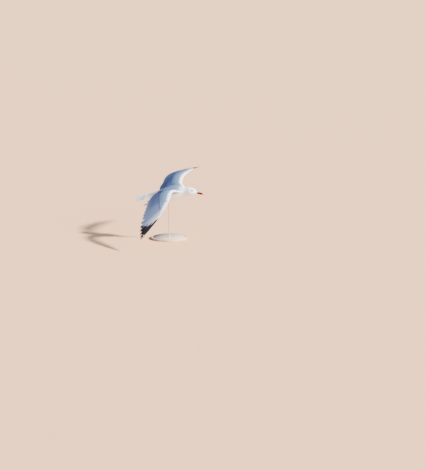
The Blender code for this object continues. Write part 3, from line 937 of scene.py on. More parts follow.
# From the midline to the middle pair's roots and tips, and on from each pair to the next.
FAN_ROOTS = (0.0010, 0.0018)
FAN_TIPS = (0.0040, 0.0085)
# Width of the inner vanes, of the outer ones, and of the outmost pair's outer ones.
TAIL_VANES = (0.0138, 0.0106, 0.0062)
# Painted blue shade: the tail's white is given darker and bluer than white.
TAIL_WHITE_IN_SHADE = np.array([0.68, 0.73, 0.81])
QUILL_ROWS = 24
QUILL_STEPS = 1 - (1 - np.linspace(0, 1, QUILL_ROWS)) ** 1.7  # closer together towards the tip
VANE_THICKNESS = 0.00040
NO_BLACK = -60.0  # beyond the tip, in millimetres
NO_WINDOW = -90.0


def quill_columns(inner, outer, shaft):
    """Distances across a flight feather, negative over the inner vane, for each row, and the same in
    shaft radii. The three middle columns are the shaft, which stands up from the vanes."""
    inner, outer, shaft = np.broadcast_arrays(inner, outer, shaft)
    inner_vane = [-inner, -0.72 * inner, -0.44 * inner, -0.18 * inner]
    across = np.stack([*inner_vane, -shaft, 0 * shaft, shaft, 0.5 * outer, outer], axis=-1)
    return across, across / shaft[..., None]


def shaft_ridge(shaft, radii):
    """How far the shaft stands up: nearly its radius in the middle, and hardly at all at its sides."""
    return 0.9 * shaft[..., None] * np.clip(1.2 - np.abs(radii), 0, 1)


def line_direction(first, second):
    """The direction of each line of places, as parts along their two coordinates."""
    run = np.stack([np.gradient(first, axis=1), np.gradient(second, axis=1)], axis=-1)
    return run / np.linalg.norm(run, axis=-1, keepdims=True)


def vane_map(across, length):
    """Places on each vane in millimetres: across it from its shaft, and back from its tip."""
    from_tip = (1 - QUILL_STEPS)[None, :, None] * length[:, None, None]
    return np.stack(np.broadcast_arrays(across * 1000, from_tip * 1000), axis=-1)


def quill_shape(share, tip_from):
    """Width of a vane along its feather: it opens out from the root and rounds off at the tip."""
    opening = 0.30 + 0.70 * smooth_step(0.0, 0.34, share)
    rounding = np.clip((share - tip_from) / (1 - tip_from), 0, 1)
    return opening * np.sqrt(1 - 0.985 * rounding**2)


def lens_faces(rows, columns):
    """Faces of a thin closed blade: a grid of points on top, and a second grid below that shares its
    rim. The points below are numbered after those on top."""
    top = np.arange(rows * columns).reshape(rows, columns)
    below = top.copy()
    inside = np.arange((rows - 2) * (columns - 2)).reshape(rows - 2, columns - 2)
    below[1:-1, 1:-1] = rows * columns + inside
    upper = np.stack([top[:-1, :-1], top[1:, :-1], top[1:, 1:], top[:-1, 1:]], axis=-1)
    lower = np.stack([below[:-1, :-1], below[:-1, 1:], below[1:, 1:], below[1:, :-1]], axis=-1)
    return np.concatenate([upper.reshape(-1, 4), lower.reshape(-1, 4)])


def blades(top, under):
    """Points of a set of blades, each with its top grid followed by the inside of the grid below."""
    count = len(top)
    inside = under[:, 1:-1, 1:-1].reshape(count, -1, top.shape[-1])
    return np.concatenate([top.reshape(count, -1, top.shape[-1]), inside], axis=1)


def repeated(values):
    """The same for values that are equal above and below."""
    return blades(values, values)


def vane_piece(name, points, faces, finish, vane, patch, numbers, colours):
    """A piece of many equal blades. `vane` runs across and along each blade in millimetres, and
    `patch` lays each blade as a small patch at its root's place on the skin, spread flat."""
    count, corners = points.shape[:2]
    mesh = bpy.data.meshes.new(name)
    quads = (faces[None] + np.arange(count)[:, None, None] * corners).reshape(-1, 4)
    mesh.vertices.add(count * corners)
    mesh.vertices.foreach_set("co", on_stand(points).ravel())
    mesh.loops.add(quads.size)
    mesh.loops.foreach_set("vertex_index", quads.ravel())
    mesh.polygons.add(len(quads))
    mesh.polygons.foreach_set("loop_start", np.arange(len(quads)) * 4)
    mesh.update(calc_edges=True)
    for title, values in (("vane", vane), ("OFBake", patch)):
        layer = mesh.uv_layers.new(name=title)
        layer.data.foreach_set("uv", values.reshape(-1, 2)[quads.ravel()].ravel())
    for title, values in numbers.items():
        set_number(mesh, title, np.broadcast_to(values, points.shape[:2]).ravel())
    set_plumage(mesh, np.broadcast_to(colours, points.shape).reshape(-1, 3))
    mesh.shade_smooth()
    mesh.set_sharp_from_angle(angle=math.radians(55))
    mesh.materials.append(finish)
    piece = bpy.data.objects.new(name, mesh)
    bpy.context.scene.collection.objects.link(piece)
    return piece


def vane_marks():
    """Barbs leaning back from the shaft on both sides, in millimetres of the vane: a shade that
    varies from barb to barb, and their relief."""
    group = bpy.data.node_groups.new("vane_marks", "ShaderNodeTree")
    group.interface.new_socket("Spacing", in_out="INPUT", socket_type="NodeSocketFloat")
    group.interface.new_socket("Shade", in_out="OUTPUT", socket_type="NodeSocketFloat")
    group.interface.new_socket("Relief", in_out="OUTPUT", socket_type="NodeSocketFloat")
    given = node(group, "NodeGroupInput")
    result = node(group, "NodeGroupOutput")
    place = node(group, "ShaderNodeUVMap", uv_map="vane")
    parts = node(group, "ShaderNodeSeparateXYZ")
    group.links.new(place.outputs[0], parts.inputs[0])
    spread = math_node(group, "ABSOLUTE", parts.outputs["X"])
    back = math_node(group, "MULTIPLY_ADD", spread, -1.15, parts.outputs["Y"])
    barb = math_node(group, "DIVIDE", back, given.outputs["Spacing"])
    wave = math_node(group, "SINE", math_node(group, "MULTIPLY", barb, 2 * math.pi))
    loose = node(group, "ShaderNodeTexNoise", noise_dimensions="1D", Scale=0.8, Detail=3.0)
    group.links.new(barb, loose.inputs["W"])
    shade = math_node(group, "MULTIPLY_ADD", wave, 0.15, loose.outputs["Fac"])
    group.links.new(shade, result.inputs["Shade"])
    group.links.new(math_node(group, "MULTIPLY_ADD", wave, 0.5, 0.5), result.inputs["Relief"])
    return group


VANE_MARKS = vane_marks()
FEATHER_BLACK = (0.0120, 0.0125, 0.0145)
FEATHER_WEAR = (0.55, 0.56, 0.58)
SHAFT_GREY = (0.17, 0.17, 0.18)
SHAFT_BLACK = (0.010, 0.009, 0.009)
TONGUE_FROM = 5.0  # millimetres inside the shaft
TONGUE_BLACK = 0.70  # the share of the black's reach inside that


def step_node(tree, value, sharpness):
    """0 below zero and 1 above it, over a short slope."""
    return clamp_node(tree, math_node(tree, "MULTIPLY_ADD", value, sharpness, 0.5))


def barbs_on(tree, spacing):
    """The barbs' marks in one material, so many millimetres apart."""
    marks = node(tree, "ShaderNodeGroup", node_tree=VANE_MARKS)
    marks.inputs["Spacing"].default_value = spacing
    return marks


def flight_vane():
    """Flight feather: its plumage colour, a grey or white that carries painted shade, with a white tip
    as deep as `tipped`, a round white window at `mirror`, and a smooth shaft between its plumage colour
    and horn. It is black towards the tip as far as `black` reaches. The inner vane keeps a pale tongue,
    and over the outer vane the black leans on or draws back by `slant`."""
    material, tree, shader = new_material("flight_feather", 0.62)
    shader.inputs["Specular IOR Level"].default_value = 0.12
    marks = barbs_on(tree, 0.85)
    own = node(tree, "ShaderNodeAttribute", attribute_name="plumage")
    place = node(tree, "ShaderNodeUVMap", uv_map="vane")
    parts = node(tree, "ShaderNodeSeparateXYZ")
    tree.links.new(place.outputs[0], parts.inputs[0])
    reach = {}
    for name in ("black", "slant", "tipped", "mirror", "shaft"):
        reach[name] = node(tree, "ShaderNodeAttribute", attribute_name=name).outputs["Fac"]
    fray = math_node(tree, "MULTIPLY", marks.outputs["Shade"], 1.6)
    from_tip = math_node(tree, "ADD", parts.outputs["Y"], fray)
    outside = step_node(tree, math_node(tree, "ADD", parts.outputs["X"], TONGUE_FROM), 0.7)
    kept = math_node(tree, "MULTIPLY_ADD", outside, 1 - TONGUE_BLACK, TONGUE_BLACK)
    local = math_node(tree, "MULTIPLY", reach["black"], kept)
    front = math_node(tree, "MAXIMUM", parts.outputs["X"], 0.0)
    leaned = math_node(tree, "MULTIPLY_ADD", front, reach["slant"], local)
    black = step_node(tree, math_node(tree, "SUBTRACT", leaned, from_tip), 0.7)
    bow = math_node(tree, "MULTIPLY", parts.outputs["X"], parts.outputs["X"])
    tip_edge = math_node(tree, "MULTIPLY_ADD", bow, -0.035, reach["tipped"])
    white_tip = step_node(tree, math_node(tree, "SUBTRACT", tip_edge, from_tip), 1.2)
    off = math_node(tree, "DIVIDE", math_node(tree, "SUBTRACT", from_tip, reach["mirror"]), 5.0)
    aside = math_node(tree, "DIVIDE", math_node(tree, "ADD", parts.outputs["X"], 3.5), 3.5)
    ring = math_node(tree, "MULTIPLY_ADD", off, off, math_node(tree, "MULTIPLY", aside, aside))
    window = step_node(tree, math_node(tree, "SUBTRACT", 1.0, ring), 5.0)
    white = math_node(tree, "MAXIMUM", white_tip, window)
    soft = math_node(tree, "MULTIPLY", marks.outputs["Shade"], 0.14)
    worn = blend_node(tree, soft, own.outputs["Color"], FEATHER_WEAR)
    dark = blend_node(tree, black, worn, FEATHER_BLACK)
    patterned = blend_node(tree, white, dark, tuple(float(c) for c in WHITE))
    off_shaft = math_node(tree, "ABSOLUTE", reach["shaft"])
    on_shaft = step_node(tree, math_node(tree, "SUBTRACT", 1.15, off_shaft), 6.0)
    pale_shaft = blend_node(tree, 0.5, own.outputs["Color"], SHAFT_GREY)
    shaft_tone = blend_node(tree, black, pale_shaft, SHAFT_BLACK)
    tone = blend_node(tree, math_node(tree, "MULTIPLY", on_shaft, 0.75), patterned, shaft_tone)
    tree.links.new(tone, shader.inputs["Base Color"])
    bump_node(tree, shader, marks.outputs["Relief"], 0.00008, 0.5)
    return material


def tail_point(x, y, height):
    """A point of the tail's sheet, which arches a little across its width."""
    middle, half = through(TAIL, 1, x), through(TAIL, 2, x)
    arch = 0.10 * half * (1 - np.clip(y / half, -1.2, 1.2) ** 2)
    return np.stack([x, y, middle + arch - 0.05 * half + height], axis=-1)


def tail_feathers():
    """Six pairs, from the middle pair outwards. The outer feathers start further apart, point outwards
    and lie lower. Every vane tilts a little, down towards the middle, so that they overlap."""
    pair = np.repeat(np.arange(6), 2)
    side = np.tile([1, -1], 6)
    share = QUILL_STEPS
    root_y = side * (FAN_ROOTS[0] + FAN_ROOTS[1] * pair)
    tip_y = side * (FAN_TIPS[0] + FAN_TIPS[1] * pair)
    tip_x = TAIL_FEATHER_TIP + 0.0004 * pair
    x = TAIL_FEATHER_ROOT + share[None] * (tip_x - TAIL_FEATHER_ROOT)[:, None]
    y = root_y[:, None] + (share[None] ** 0.9) * (tip_y - root_y)[:, None]
    length = np.hypot(tip_x - TAIL_FEATHER_ROOT, tip_y - root_y)
    shape = quill_shape(share[None], 0.90)
    outer_wide = np.where(pair == 5, TAIL_VANES[2], TAIL_VANES[1])[:, None]
    inner, outer = TAIL_VANES[0] * shape, outer_wide * shape
    shaft = np.broadcast_to(0.0010 - 0.0008 * share, inner.shape)
    across, radii = quill_columns(inner, outer, shaft)
    run = line_direction(x, y)
    outward = np.stack([run[..., 1], -run[..., 0]], axis=-1)
    outward *= np.sign(outward[..., 1:] * side[:, None, None])
    place_x = x[..., None] + across * outward[..., 0:1]
    place_y = y[..., None] + across * outward[..., 1:2]
    stack = -0.0006 * pair[:, None, None] - 0.05 * across
    ridge = shaft_ridge(shaft, radii)
    top = tail_point(place_x, place_y, TAIL_FEATHER_RISE + stack + ridge)
    under = tail_point(place_x, place_y, TAIL_FEATHER_RISE + stack - VANE_THICKNESS - ridge)
    vane = vane_map(across, length)
    for values in (top, under, vane, radii):
        values[side > 0] = values[side > 0][:, :, ::-1]  # so that the faces of both sides point out
    return pair, side, top, under, vane, radii


pair, side, top, under, vane, radii = tail_feathers()
patch = np.empty(vane.shape)
patch[..., 0] = 0.5 + (side * (pair + 0.5))[:, None, None] / 14 + vane[..., 0] / 900
patch[..., 1] = 0.05 + 0.9 * vane[..., 1] / 130
quill_finish = flight_vane()
quill_blade = lens_faces(QUILL_ROWS, 9)
numbers = {
    "black": NO_BLACK,
    "slant": 0.0,
    "tipped": 4.0,
    "mirror": NO_WINDOW,
    "shaft": repeated(radii[..., None])[..., 0],
}
tail_fan = vane_piece(
    "tail_feathers", blades(top, under), quill_blade, quill_finish,
    repeated(vane), repeated(patch), numbers, TAIL_WHITE_IN_SHADE,
)
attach(tail_fan, "root")
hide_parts("tail")


# -------------------------------------------------------------------------------- flight feathers
# Ten primaries on each hand, twenty secondaries on the forearm and five tertials by the body: stiff
# quills rooted in the flesh of the wing. Seen from above, the front vane of each lies over the back
# vane of the next one out.

CHORD_MARGIN = 0.0018  # how far the tips end before the wing's rear edge
# Primaries from the inmost out: root along the span and back from the front edge, tip along the span,
# inner and outer vane width, then in millimetres how far the black reaches in from the tip, how deep
# the white tip is, and where the white window lies. What isn't there has its place beyond the tip.
PRIMARIES = np.array(
    [
        (0.2000, 0.0220, 0.292, 0.0200, 0.0100, -60, 7, -90),
        (0.2070, 0.0205, 0.323, 0.0220, 0.0100, -60, 7, -90),
        (0.2140, 0.0190, 0.354, 0.0240, 0.0100, -60, 6, -90),
        (0.2210, 0.0175, 0.385, 0.0250, 0.0100, -60, 6, -90),
        (0.2280, 0.0160, 0.425, 0.0260, 0.0100, 13, 4, -90),
        (0.2350, 0.0145, 0.462, 0.0260, 0.0100, 30, 4, -90),
        (0.2420, 0.0125, 0.495, 0.0240, 0.0090, 72, 4, -90),
        (0.2480, 0.0105, 0.524, 0.0200, 0.0078, 112, 3.5, -90),
        (0.2550, 0.0085, 0.548, 0.0155, 0.0060, 150, 3, -90),
        (0.2620, 0.0065, 0.568, 0.0125, 0.0042, 186, 1, 40),
    ]
)
SECONDARIES = 20
TERTIALS = 5
TERTIAL_STEP = 0.0009  # how much higher each tertial lies than the one outside it
QUILL_TILT = 0.055  # of the vanes, up towards the front, so that they overlap
QUILL_DROOP = 0.0006  # of the vanes' edges
QUILL_SUNK = 0.0040  # how deep the roots are in the wing's flesh
RIDGE_MOST = 0.0007
# Painted shade: pearl grey painted darker and bluer for the shade over the rear of the wing, on the
# flight feathers and the greater coverts.
WING_GREY_IN_SHADE = np.array([0.078, 0.124, 0.225])
FRONT_WHITE = 0.75  # how white the outmost primary is before its black
FRONT_QUILLS = 5  # over how many feathers that fades
PALE_EDGE = -4.0  # how fast the black of the middle primaries draws back towards their front edge
DARK_EDGE = 0.9  # how fast that of the others reaches further in there
# Painted shade of the coverts on the inner quills: how much darker in red, green and blue they are
# painted where they come out from the coverts.
QUILL_BASE_SHADE = np.array([0.62, 0.50, 0.24])


def quill_face(share):
    """Where the flight feathers lie in the wing's thickness: near its top, and in its middle where it
    thins out to the rear edge."""
    return 0.72 * (1 - smooth_step(0.55, 0.95, share))


def quill_table():
    """All the flight feathers of a wing, outmost first, in one table: root, tip, widths, black reach,
    white tip, window, where the tip starts to round off, and how far it is raised over the others."""
    first = PRIMARIES[::-1]
    tip_from = np.array([0.72, 0.78, 0.82, 0.85, 0.87, 0.88, 0.89, 0.90, 0.90, 0.90])
    tips_back = chord_at(first[:, 2]) - CHORD_MARGIN
    primaries = np.column_stack([first[:, :3], tips_back, first[:, 3:], tip_from, np.zeros(10)])
    share = np.linspace(0, 1, SECONDARIES)
    order = np.arange(TERTIALS)
    rows = [primaries]
    for root, root_back, tip, margin, wide, rounded, raised in (
        (
            0.193 + share * (0.076 - 0.193), 0.024 + share * 0.012, 0.264 + share * (0.092 - 0.264),
            CHORD_MARGIN, (0.0165, 0.0075), 0.91, 0.0 * share,
        ),
        (
            0.071 - 0.0085 * order, 0.038 + 0.002 * order, 0.085 - 0.0115 * order,
            0.0015, (0.0150, 0.0125), 0.86, TERTIAL_STEP * (order + 1),
        ),
    ):
        equal = np.tile([*wide, NO_BLACK, 6.0, NO_WINDOW, rounded], (len(root), 1))
        rows.append(np.column_stack([root, root_back, tip, chord_at(tip) - margin, equal, raised]))
    return np.concatenate(rows)


def quills(side):
    """Every flight feather of one wing as a blade: it runs from its root to its tip in a line that
    bends back a little, with the two vanes at right angles to the line, drooping at their edges."""
    table = quill_table()[:, :, None]
    root_s, root_b, tip_s, tip_b, inner, outer = (table[:, column] for column in range(6))
    share = QUILL_STEPS
    along = root_s + (tip_s - root_s) * share
    back = root_b + (tip_b - root_b) * share**1.12
    length = np.hypot(tip_s - root_s, tip_b - root_b)[:, 0]
    shape = np.stack([quill_shape(share, tip_from) for tip_from in table[:, 9, 0]])
    shaft = np.broadcast_to(0.0009 - 0.0007 * share, shape.shape)
    across, radii = quill_columns(inner * shape, outer * shape, shaft)
    run = line_direction(along, back)
    place_s = along[..., None] + across * run[..., 1:2]
    place_b = back[..., None] - across * run[..., 0:1]
    wide = np.where(across < 0, inner[..., None], outer[..., None])
    droop = QUILL_DROOP * (across / wide) ** 2
    sunk = QUILL_SUNK * (1 - share[:, None]) ** 3
    raised = table[:, 10, :, None] * (0.5 + 0.5 * smooth_step(0.1, 0.7, share))[:, None]
    height = raised + QUILL_TILT * across - droop - sunk
    ridge = np.minimum(shaft_ridge(shaft, radii), RIDGE_MOST)
    chord = chord_at(np.clip(place_s, 0, WING_END))
    face = quill_face(np.clip(place_b / chord, 0, 1))
    top = wing_surface(side, place_s, place_b, face, height + ridge)
    under = wing_surface(side, place_s, place_b, face, height - VANE_THICKNESS - ridge)
    return table[..., 0], top, under, vane_map(across, length), radii


for word, side in (("left", 1), ("right", -1)):
    table, top, under, vane, radii = quills(side)
    count = len(table)
    slot = (np.arange(count) + 0.5)[:, None, None]
    wide = np.abs(vane[..., 0]).max(axis=(1, 2))[:, None, None]
    patch = np.empty(vane.shape)
    patch[..., 0] = 0.02 + 0.96 * (slot + 0.42 * vane[..., 0] / wide) / count
    patch[..., 1] = 0.04 + 0.92 * vane[..., 1] / vane[..., 1].max()
    # Every quill starts from the grey with painted shade in it.
    colours = np.broadcast_to(WING_GREY_IN_SHADE, vane.shape[:-1] + (3,)).copy()
    paler = np.clip(-vane[..., 0:1] / 20, 0, 1) * 0.15
    front = FRONT_WHITE * np.clip(1 - np.arange(count) / FRONT_QUILLS, 0, 1)[:, None, None, None]
    paler = np.maximum(paler, front)
    colours = colours * (1 - paler) + WHITE * paler
    # Painted shade: the inner quills darker and bluer towards their roots, under the coverts.
    inward = smooth_step(0.36, 0.26, table[:, 2])[:, None, None, None]
    colours *= 1 - QUILL_BASE_SHADE * inward * smooth_step(10, 44, vane[..., 1:2])
    for title, rows, node_names, slot_name in (
        ("primaries", slice(0, 10), ("wing_outer", "wing_tip"), "black_feather"),
        ("secondaries", slice(10, count), ("wing_inner",), "grey_feather"),
    ):
        numbers = {
            "black": table[rows, 6, None],
            "slant": np.where(np.abs(table[rows, 6, None] - 70) < 60, PALE_EDGE, DARK_EDGE),
            "tipped": table[rows, 7, None],
            "mirror": table[rows, 8, None],
            "shaft": repeated(radii[rows, ..., None])[..., 0],
        }
        faces = quill_blade[:, ::-1] if side > 0 else quill_blade
        piece = vane_piece(
            f"{title}_{word}", blades(top[rows], under[rows]), faces, quill_finish,
            repeated(vane[rows]), repeated(patch[rows]), numbers, repeated(colours[rows]),
        )
        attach(piece, "root")
        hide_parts(*(f"{name}_{word}" for name in node_names))


# ------------------------------------------------------------------------------------ wing coverts
# Rows of small feathers that cover the flesh of the wing and the roots of its flight feathers, above
# and below: long ones at the back, shorter towards the front edge, with three stiff thumb feathers.

# Rows: distance of the roots round from the front edge, length, width and spacing.
COVERT_ROWS = np.array(
    [
        (0.0340, 0.0490, 0.0150, 0.0068),
        (0.0265, 0.0300, 0.0130, 0.0064),
        (0.0205, 0.0230, 0.0118, 0.0058),
        (0.0155, 0.0195, 0.0108, 0.0053),
        (0.0112, 0.0170, 0.0098, 0.0048),
        (0.0074, 0.0145, 0.0088, 0.0043),
        (0.0042, 0.0125, 0.0080, 0.0039),
        (0.0014, 0.0108, 0.0072, 0.0035),
        (-0.0006, 0.0090, 0.0064, 0.0031),
    ]
)
COVERTS_FROM = 0.026
COVERTS_TO = 0.300
COVERT_DEPTH = 0.0017
# Points along and across each feather, its thickness, how far its edges droop in parts of its width,
# and how much closer than a covert's its barbs are.
COVERT_MAKE = (8, 7, 0.00035, 0.05, 1.0)
# Along the span: how far the feathers point outwards from straight back, in degrees, and how much
# closer to the front edge the rows are.
COVERT_LIE = np.array(
    [
        (0.03, 2.0, 1.0),
        (0.10, 10.0, 1.0),
        (0.19, 27.0, 1.0),
        (0.23, 48.0, 0.62),
        (0.30, 76.0, 0.26),
    ]
)
# The three thumb feathers: place along the span, round from the front edge, length, width, degrees
# outwards, and how high the tip stands.
THUMB = np.array(
    [
        (0.197, 0.0075, 0.048, 0.0105, 66, 0.0009),
        (0.203, 0.0060, 0.041, 0.0095, 72, 0.0012),
        (0.209, 0.0045, 0.032, 0.0080, 78, 0.0015),
    ]
)
UNDER_WHITE = np.array([0.74, 0.755, 0.775])
PATCH = 0.003  # side of each feather's patch on the spread skin


def back_from_girth(along, girth):
    """How far back from the front edge a place is that lies `girth` round the wing's nose. The nose
    is a parabola: its depth grows with the root of the distance back. Solved in a few steps."""
    nose = through(WING_SHAPE, 3, along) / (2 * SWELL_MOST)
    chord = chord_at(along)
    t = np.minimum(np.abs(girth) / nose, np.sqrt(np.abs(girth) / chord))
    for _ in range(6):
        slope = np.sqrt(nose**2 + (2 * chord * t) ** 2)
        length = 0.5 * t * slope + nose**2 / (4 * chord) * np.arcsinh(2 * chord * t / nose)
        t = t - (length - np.abs(girth)) / slope
    return chord * t * t


def wing_coat(side, along, girth):
    """A point of the wing's feathered outside, by the distance round its front edge: above for a
    positive girth, below for a negative one, where it rises to meet the flight feathers."""
    along = np.clip(along, 0.013, WING_END - 0.001)
    back = back_from_girth(along, girth)
    share = back / chord_at(along)
    low = -1 + (1 + quill_face(share)) * smooth_step(0.30, 0.64, share)
    face = np.where(girth > 0, 1.0, low)
    sunk = np.where(girth > 0, 0.0, -0.0014 * smooth_step(0.30, 0.64, share))
    return wing_surface(side, along, back, face, sunk)


def coat(surface, out, p, q, lie, length, width, depth, lift, curl, make):
    """Small feathers on a surface of two parameters. Each grows from (p, q) in the direction `lie`,
    given as parts along the two, with its root `depth` under the surface and its tip at the surface.
    It rises fast at first and then lies along. Its width grows to the middle and rounds off at the
    tip, it is roofed over its shaft, and it is thickest in the middle and thin at its rim. `out` is
    the sense of the surface's outside, `lift` raises its tip, `curl` bends it sideways, and `make` is
    as in COVERT_MAKE."""
    rows, columns, thick, roof, barbs = make
    step = 2e-4
    spans = []
    for dp, dq in ((step, 0), (0, step)):
        gap = surface(p + dp, q + dq) - surface(p - dp, q - dq)
        spans.append(np.linalg.norm(gap, axis=-1)[:, None, None] / (2 * step))
    even = np.linspace(0, 1, rows)
    shape = np.interp(even, [0, 0.3, 0.6, 0.85, 1.0], [0.34, 0.80, 1.0, 0.90, 0.56])
    share = np.sin(even * np.pi / 2) ** 0.9
    shape = np.interp(share, even, shape)[None, :, None]
    a = share[None, :, None]
    b = np.linspace(-1, 1, columns)[None, None, :]
    p, q, lie_p, lie_q, length, width, depth, lift, curl = (
        values[:, None, None] for values in (p, q, *lie, length, width, depth, lift, curl)
    )
    run = length * (a - 0.16 * b * b * a**2)
    aside = 0.5 * width * shape * b + curl * a * a
    place_p = p + (lie_p * run - out * lie_q * aside) / spans[0]
    place_q = q + (lie_q * run + out * lie_p * aside) / spans[1]
    height = -depth * (1 - a) ** 2.4 + lift * a * a
    height = height - roof * width * shape * b * b
    points = surface(place_p, place_q)
    along_p = surface(place_p + step, place_q) - points
    along_q = surface(place_p, place_q + step) - points
    normal = out * np.cross(along_p, along_q)
    normal /= np.maximum(np.linalg.norm(normal, axis=-1, keepdims=True), 1e-12)
    top = points + normal * height[..., None]
    inset = thick * np.sin(np.pi * np.clip(a, 0.05, 0.95)) ** 0.5 * (1 - b**4)
    under = top - normal * inset[..., None]
    vane = np.stack(np.broadcast_arrays(aside * 1000, (length - run) * 1000), axis=-1)
    return top, under, vane * barbs


def coat_piece(name, feathers, make, u, v, colours):
    """A piece of many small feathers. Each has a square patch of its own in the map of the coat, about
    its root's place (u, v) on the skin, spread flat."""
    top, under, vane = feathers
    rows, columns = make[:2]
    a = PATCH * np.linspace(-0.5, 0.5, rows)[None, :, None]
    b = PATCH * np.linspace(-0.5, 0.5, columns)[None, None, :]
    u, v = (np.clip(place, 0.002, 0.998)[:, None, None] for place in (u, v))
    patch = np.stack([u + b + 0 * a, v + a + 0 * b], axis=-1)
    return vane_piece(
        name, blades(top, under), lens_faces(rows, columns), contour_finish,
        repeated(vane), repeated(patch), {}, colours,
    )


DOWN_GREY = (0.42, 0.43, 0.45)


def contour_vane():
    """Small body feather: its own colour, slightly varied from barb to barb, soft and matt, with the
    relief of its barbs."""
    material, tree, shader = new_material("contour_feather", 0.78)
    shader.inputs["Specular IOR Level"].default_value = 0.10
    marks = barbs_on(tree, 0.7)
    own = node(tree, "ShaderNodeAttribute", attribute_name="plumage")
    soft = math_node(tree, "MULTIPLY", marks.outputs["Shade"], 0.10)
    varied = blend_node(tree, soft, own.outputs["Color"], DOWN_GREY)
    tree.links.new(varied, shader.inputs["Base Color"])
    bump_node(tree, shader, marks.outputs["Relief"], 0.00006, 0.35)
    return material


def covert_rows(side, below):
    """Roots, sizes, lie and colour of the coverts above or below. The rows are staggered."""
    found = []
    for number, (girth, length, width, spacing) in enumerate(COVERT_ROWS):
        s = np.arange(COVERTS_FROM + 0.5 * spacing * (number % 2), COVERTS_TO, spacing)
        found.append(np.column_stack([s, np.tile([girth, length, width], (len(s), 1))]))
    s, girth, length, width = np.concatenate(found).T
    chance = np.random.default_rng(11 + side + 7 * below)
    near = through(COVERT_LIE, 2, s)
    hand = smooth_step(0.19, 0.30, s)
    girth = girth * near
    length = length * (1 - 0.12 * hand) * chance.uniform(0.95, 1.06, len(s))
    width = width * (1 - 0.22 * hand)
    front = 1 - smooth_step(0.002, 0.022, girth)
    outwards = through(COVERT_LIE, 1, s) + 22 * front * (1 - hand)
    angle = np.radians(outwards + chance.normal(0, 2.2, len(s)))
    way = -1 if below else 1
    lie = (np.sin(angle), way * np.cos(angle))
    tip = girth + 0.8 * length * np.cos(angle)
    if below:
        grey = 0.55 * smooth_step(0.030, 0.060, tip)[:, None]
        colours = UNDER_WHITE * (1 - grey) + PEARL_GREY_WITH_SHADE * 1.25 * grey
    else:
        grey = smooth_step(0.012, 0.029, tip)[:, None]
        # Painted shade: the rear rows, the greater coverts, fade into the grey painted darker for the
        # shade over the rear of the wing.
        rear_shade = smooth_step(0.044, 0.072, tip)[:, None]
        colours = WHITE * (1 - grey) + (PEARL_GREY_WITH_SHADE * (1 - rear_shade) + WING_GREY_IN_SHADE * rear_shade) * grey
    colours = colours * chance.uniform(0.965, 1.03, (len(s), 1))
    return s, way * girth, lie, length, width, colours, chance


contour_finish = contour_vane()
for word, side in (("left", 1), ("right", -1)):
    for title, below in (("upper", 0), ("under", 1)):
        s, girth, lie, length, width, colours, chance = covert_rows(side, below)
        if not below:
            thumb = THUMB.T
            s, girth, length, width = (
                np.concatenate(pair) for pair in zip((s, girth, length, width), thumb[:4])
            )
            thumb_lie = (np.sin(np.radians(thumb[4])), np.cos(np.radians(thumb[4])))
            lie = tuple(np.concatenate(pair) for pair in zip(lie, thumb_lie))
            colours = np.concatenate([colours, np.tile(PEARL_GREY_WITH_SHADE * 1.1, (len(THUMB), 1))])
        depth = COVERT_DEPTH * np.clip(length / 0.02, 0.5, 1.6)
        lift = chance.uniform(-0.0001, 0.0002, len(s))
        if not below:
            lift[-len(THUMB):] = thumb[5]
        feathers = coat(
            lambda p, q: wing_coat(side, p, q), side, s, girth, lie, length, width, depth,
            lift, chance.normal(0, 0.0004, len(s)), COVERT_MAKE,
        )
        piece = coat_piece(
            f"{title}_coverts_{word}", feathers, COVERT_MAKE, s / 0.33, 0.5 + 8 * girth,
            colours[:, None],
        )
        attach(piece, "root")


# -------------------------------------------------------------------------------------- body coat
# The small feathers of head, neck and trunk, rooted in the skin and lying backwards like tiles. They
# are tiny on the face and long over the tail. Their roots follow an even spiral round the body.

# Stations: x, feather length, feather width.
COAT_SIZES = np.array(
    [
        (0.1620, 0.0036, 0.0014),
        (0.1560, 0.0044, 0.0016),
        (0.1480, 0.0052, 0.0018),
        (0.1390, 0.0060, 0.0020),
        (0.1290, 0.0070, 0.0023),
        (0.1180, 0.0084, 0.0027),
        (0.1060, 0.0100, 0.0032),
        (0.0930, 0.0120, 0.0039),
        (0.0780, 0.0140, 0.0048),
        (0.0600, 0.0164, 0.0062),
        (0.0400, 0.0190, 0.0076),
        (0.0150, 0.0212, 0.0088),
        (-0.0450, 0.0230, 0.0096),
        (-0.1050, 0.0240, 0.0100),
        (-0.1500, 0.0280, 0.0106),
        (-0.1950, 0.0340, 0.0112),
    ]
)
EYE_SIZES = np.array([(0.1460, 0.0027, 0.0012), (0.1160, 0.0027, 0.0012)])
GOLDEN_TURN = math.pi * (3 - math.sqrt(5))
COAT_SPACING = 0.116  # the share of its own length by width that each feather has for itself
# Points, thickness, droop and barbs, as in COVERT_MAKE.
FINE_MAKE = (6, 4, 0.00010, 0.015, 2.2)
BROAD_MAKE = (7, 5, 0.00024, 0.03, 1.0)
LEAST_ROOM = 0.35  # feathers by the eye that would be shorter than this share are left out


def coat_roots(first, last, sizes):
    """Roots on a golden-angle spiral between two stations. The spiral climbs slowly where the
    feathers are small, so that several of them lie over every place."""
    x = np.linspace(first, last, 1200)
    around = 2 * np.pi * np.sqrt(
        (through(BODY, 3, x) ** 2 + ((through(BODY, 1, x) - through(BODY, 2, x)) / 2) ** 2) / 2
    )
    each = COAT_SPACING * through(sizes, 1, x) * through(sizes, 2, x)
    run = np.concatenate([[0], np.cumsum(around[1:] / each[1:] * -np.diff(x))])
    number = np.arange(int(run[-1]))
    return np.interp(number + 0.5, run, x), (number * GOLDEN_TURN) % (2 * np.pi)


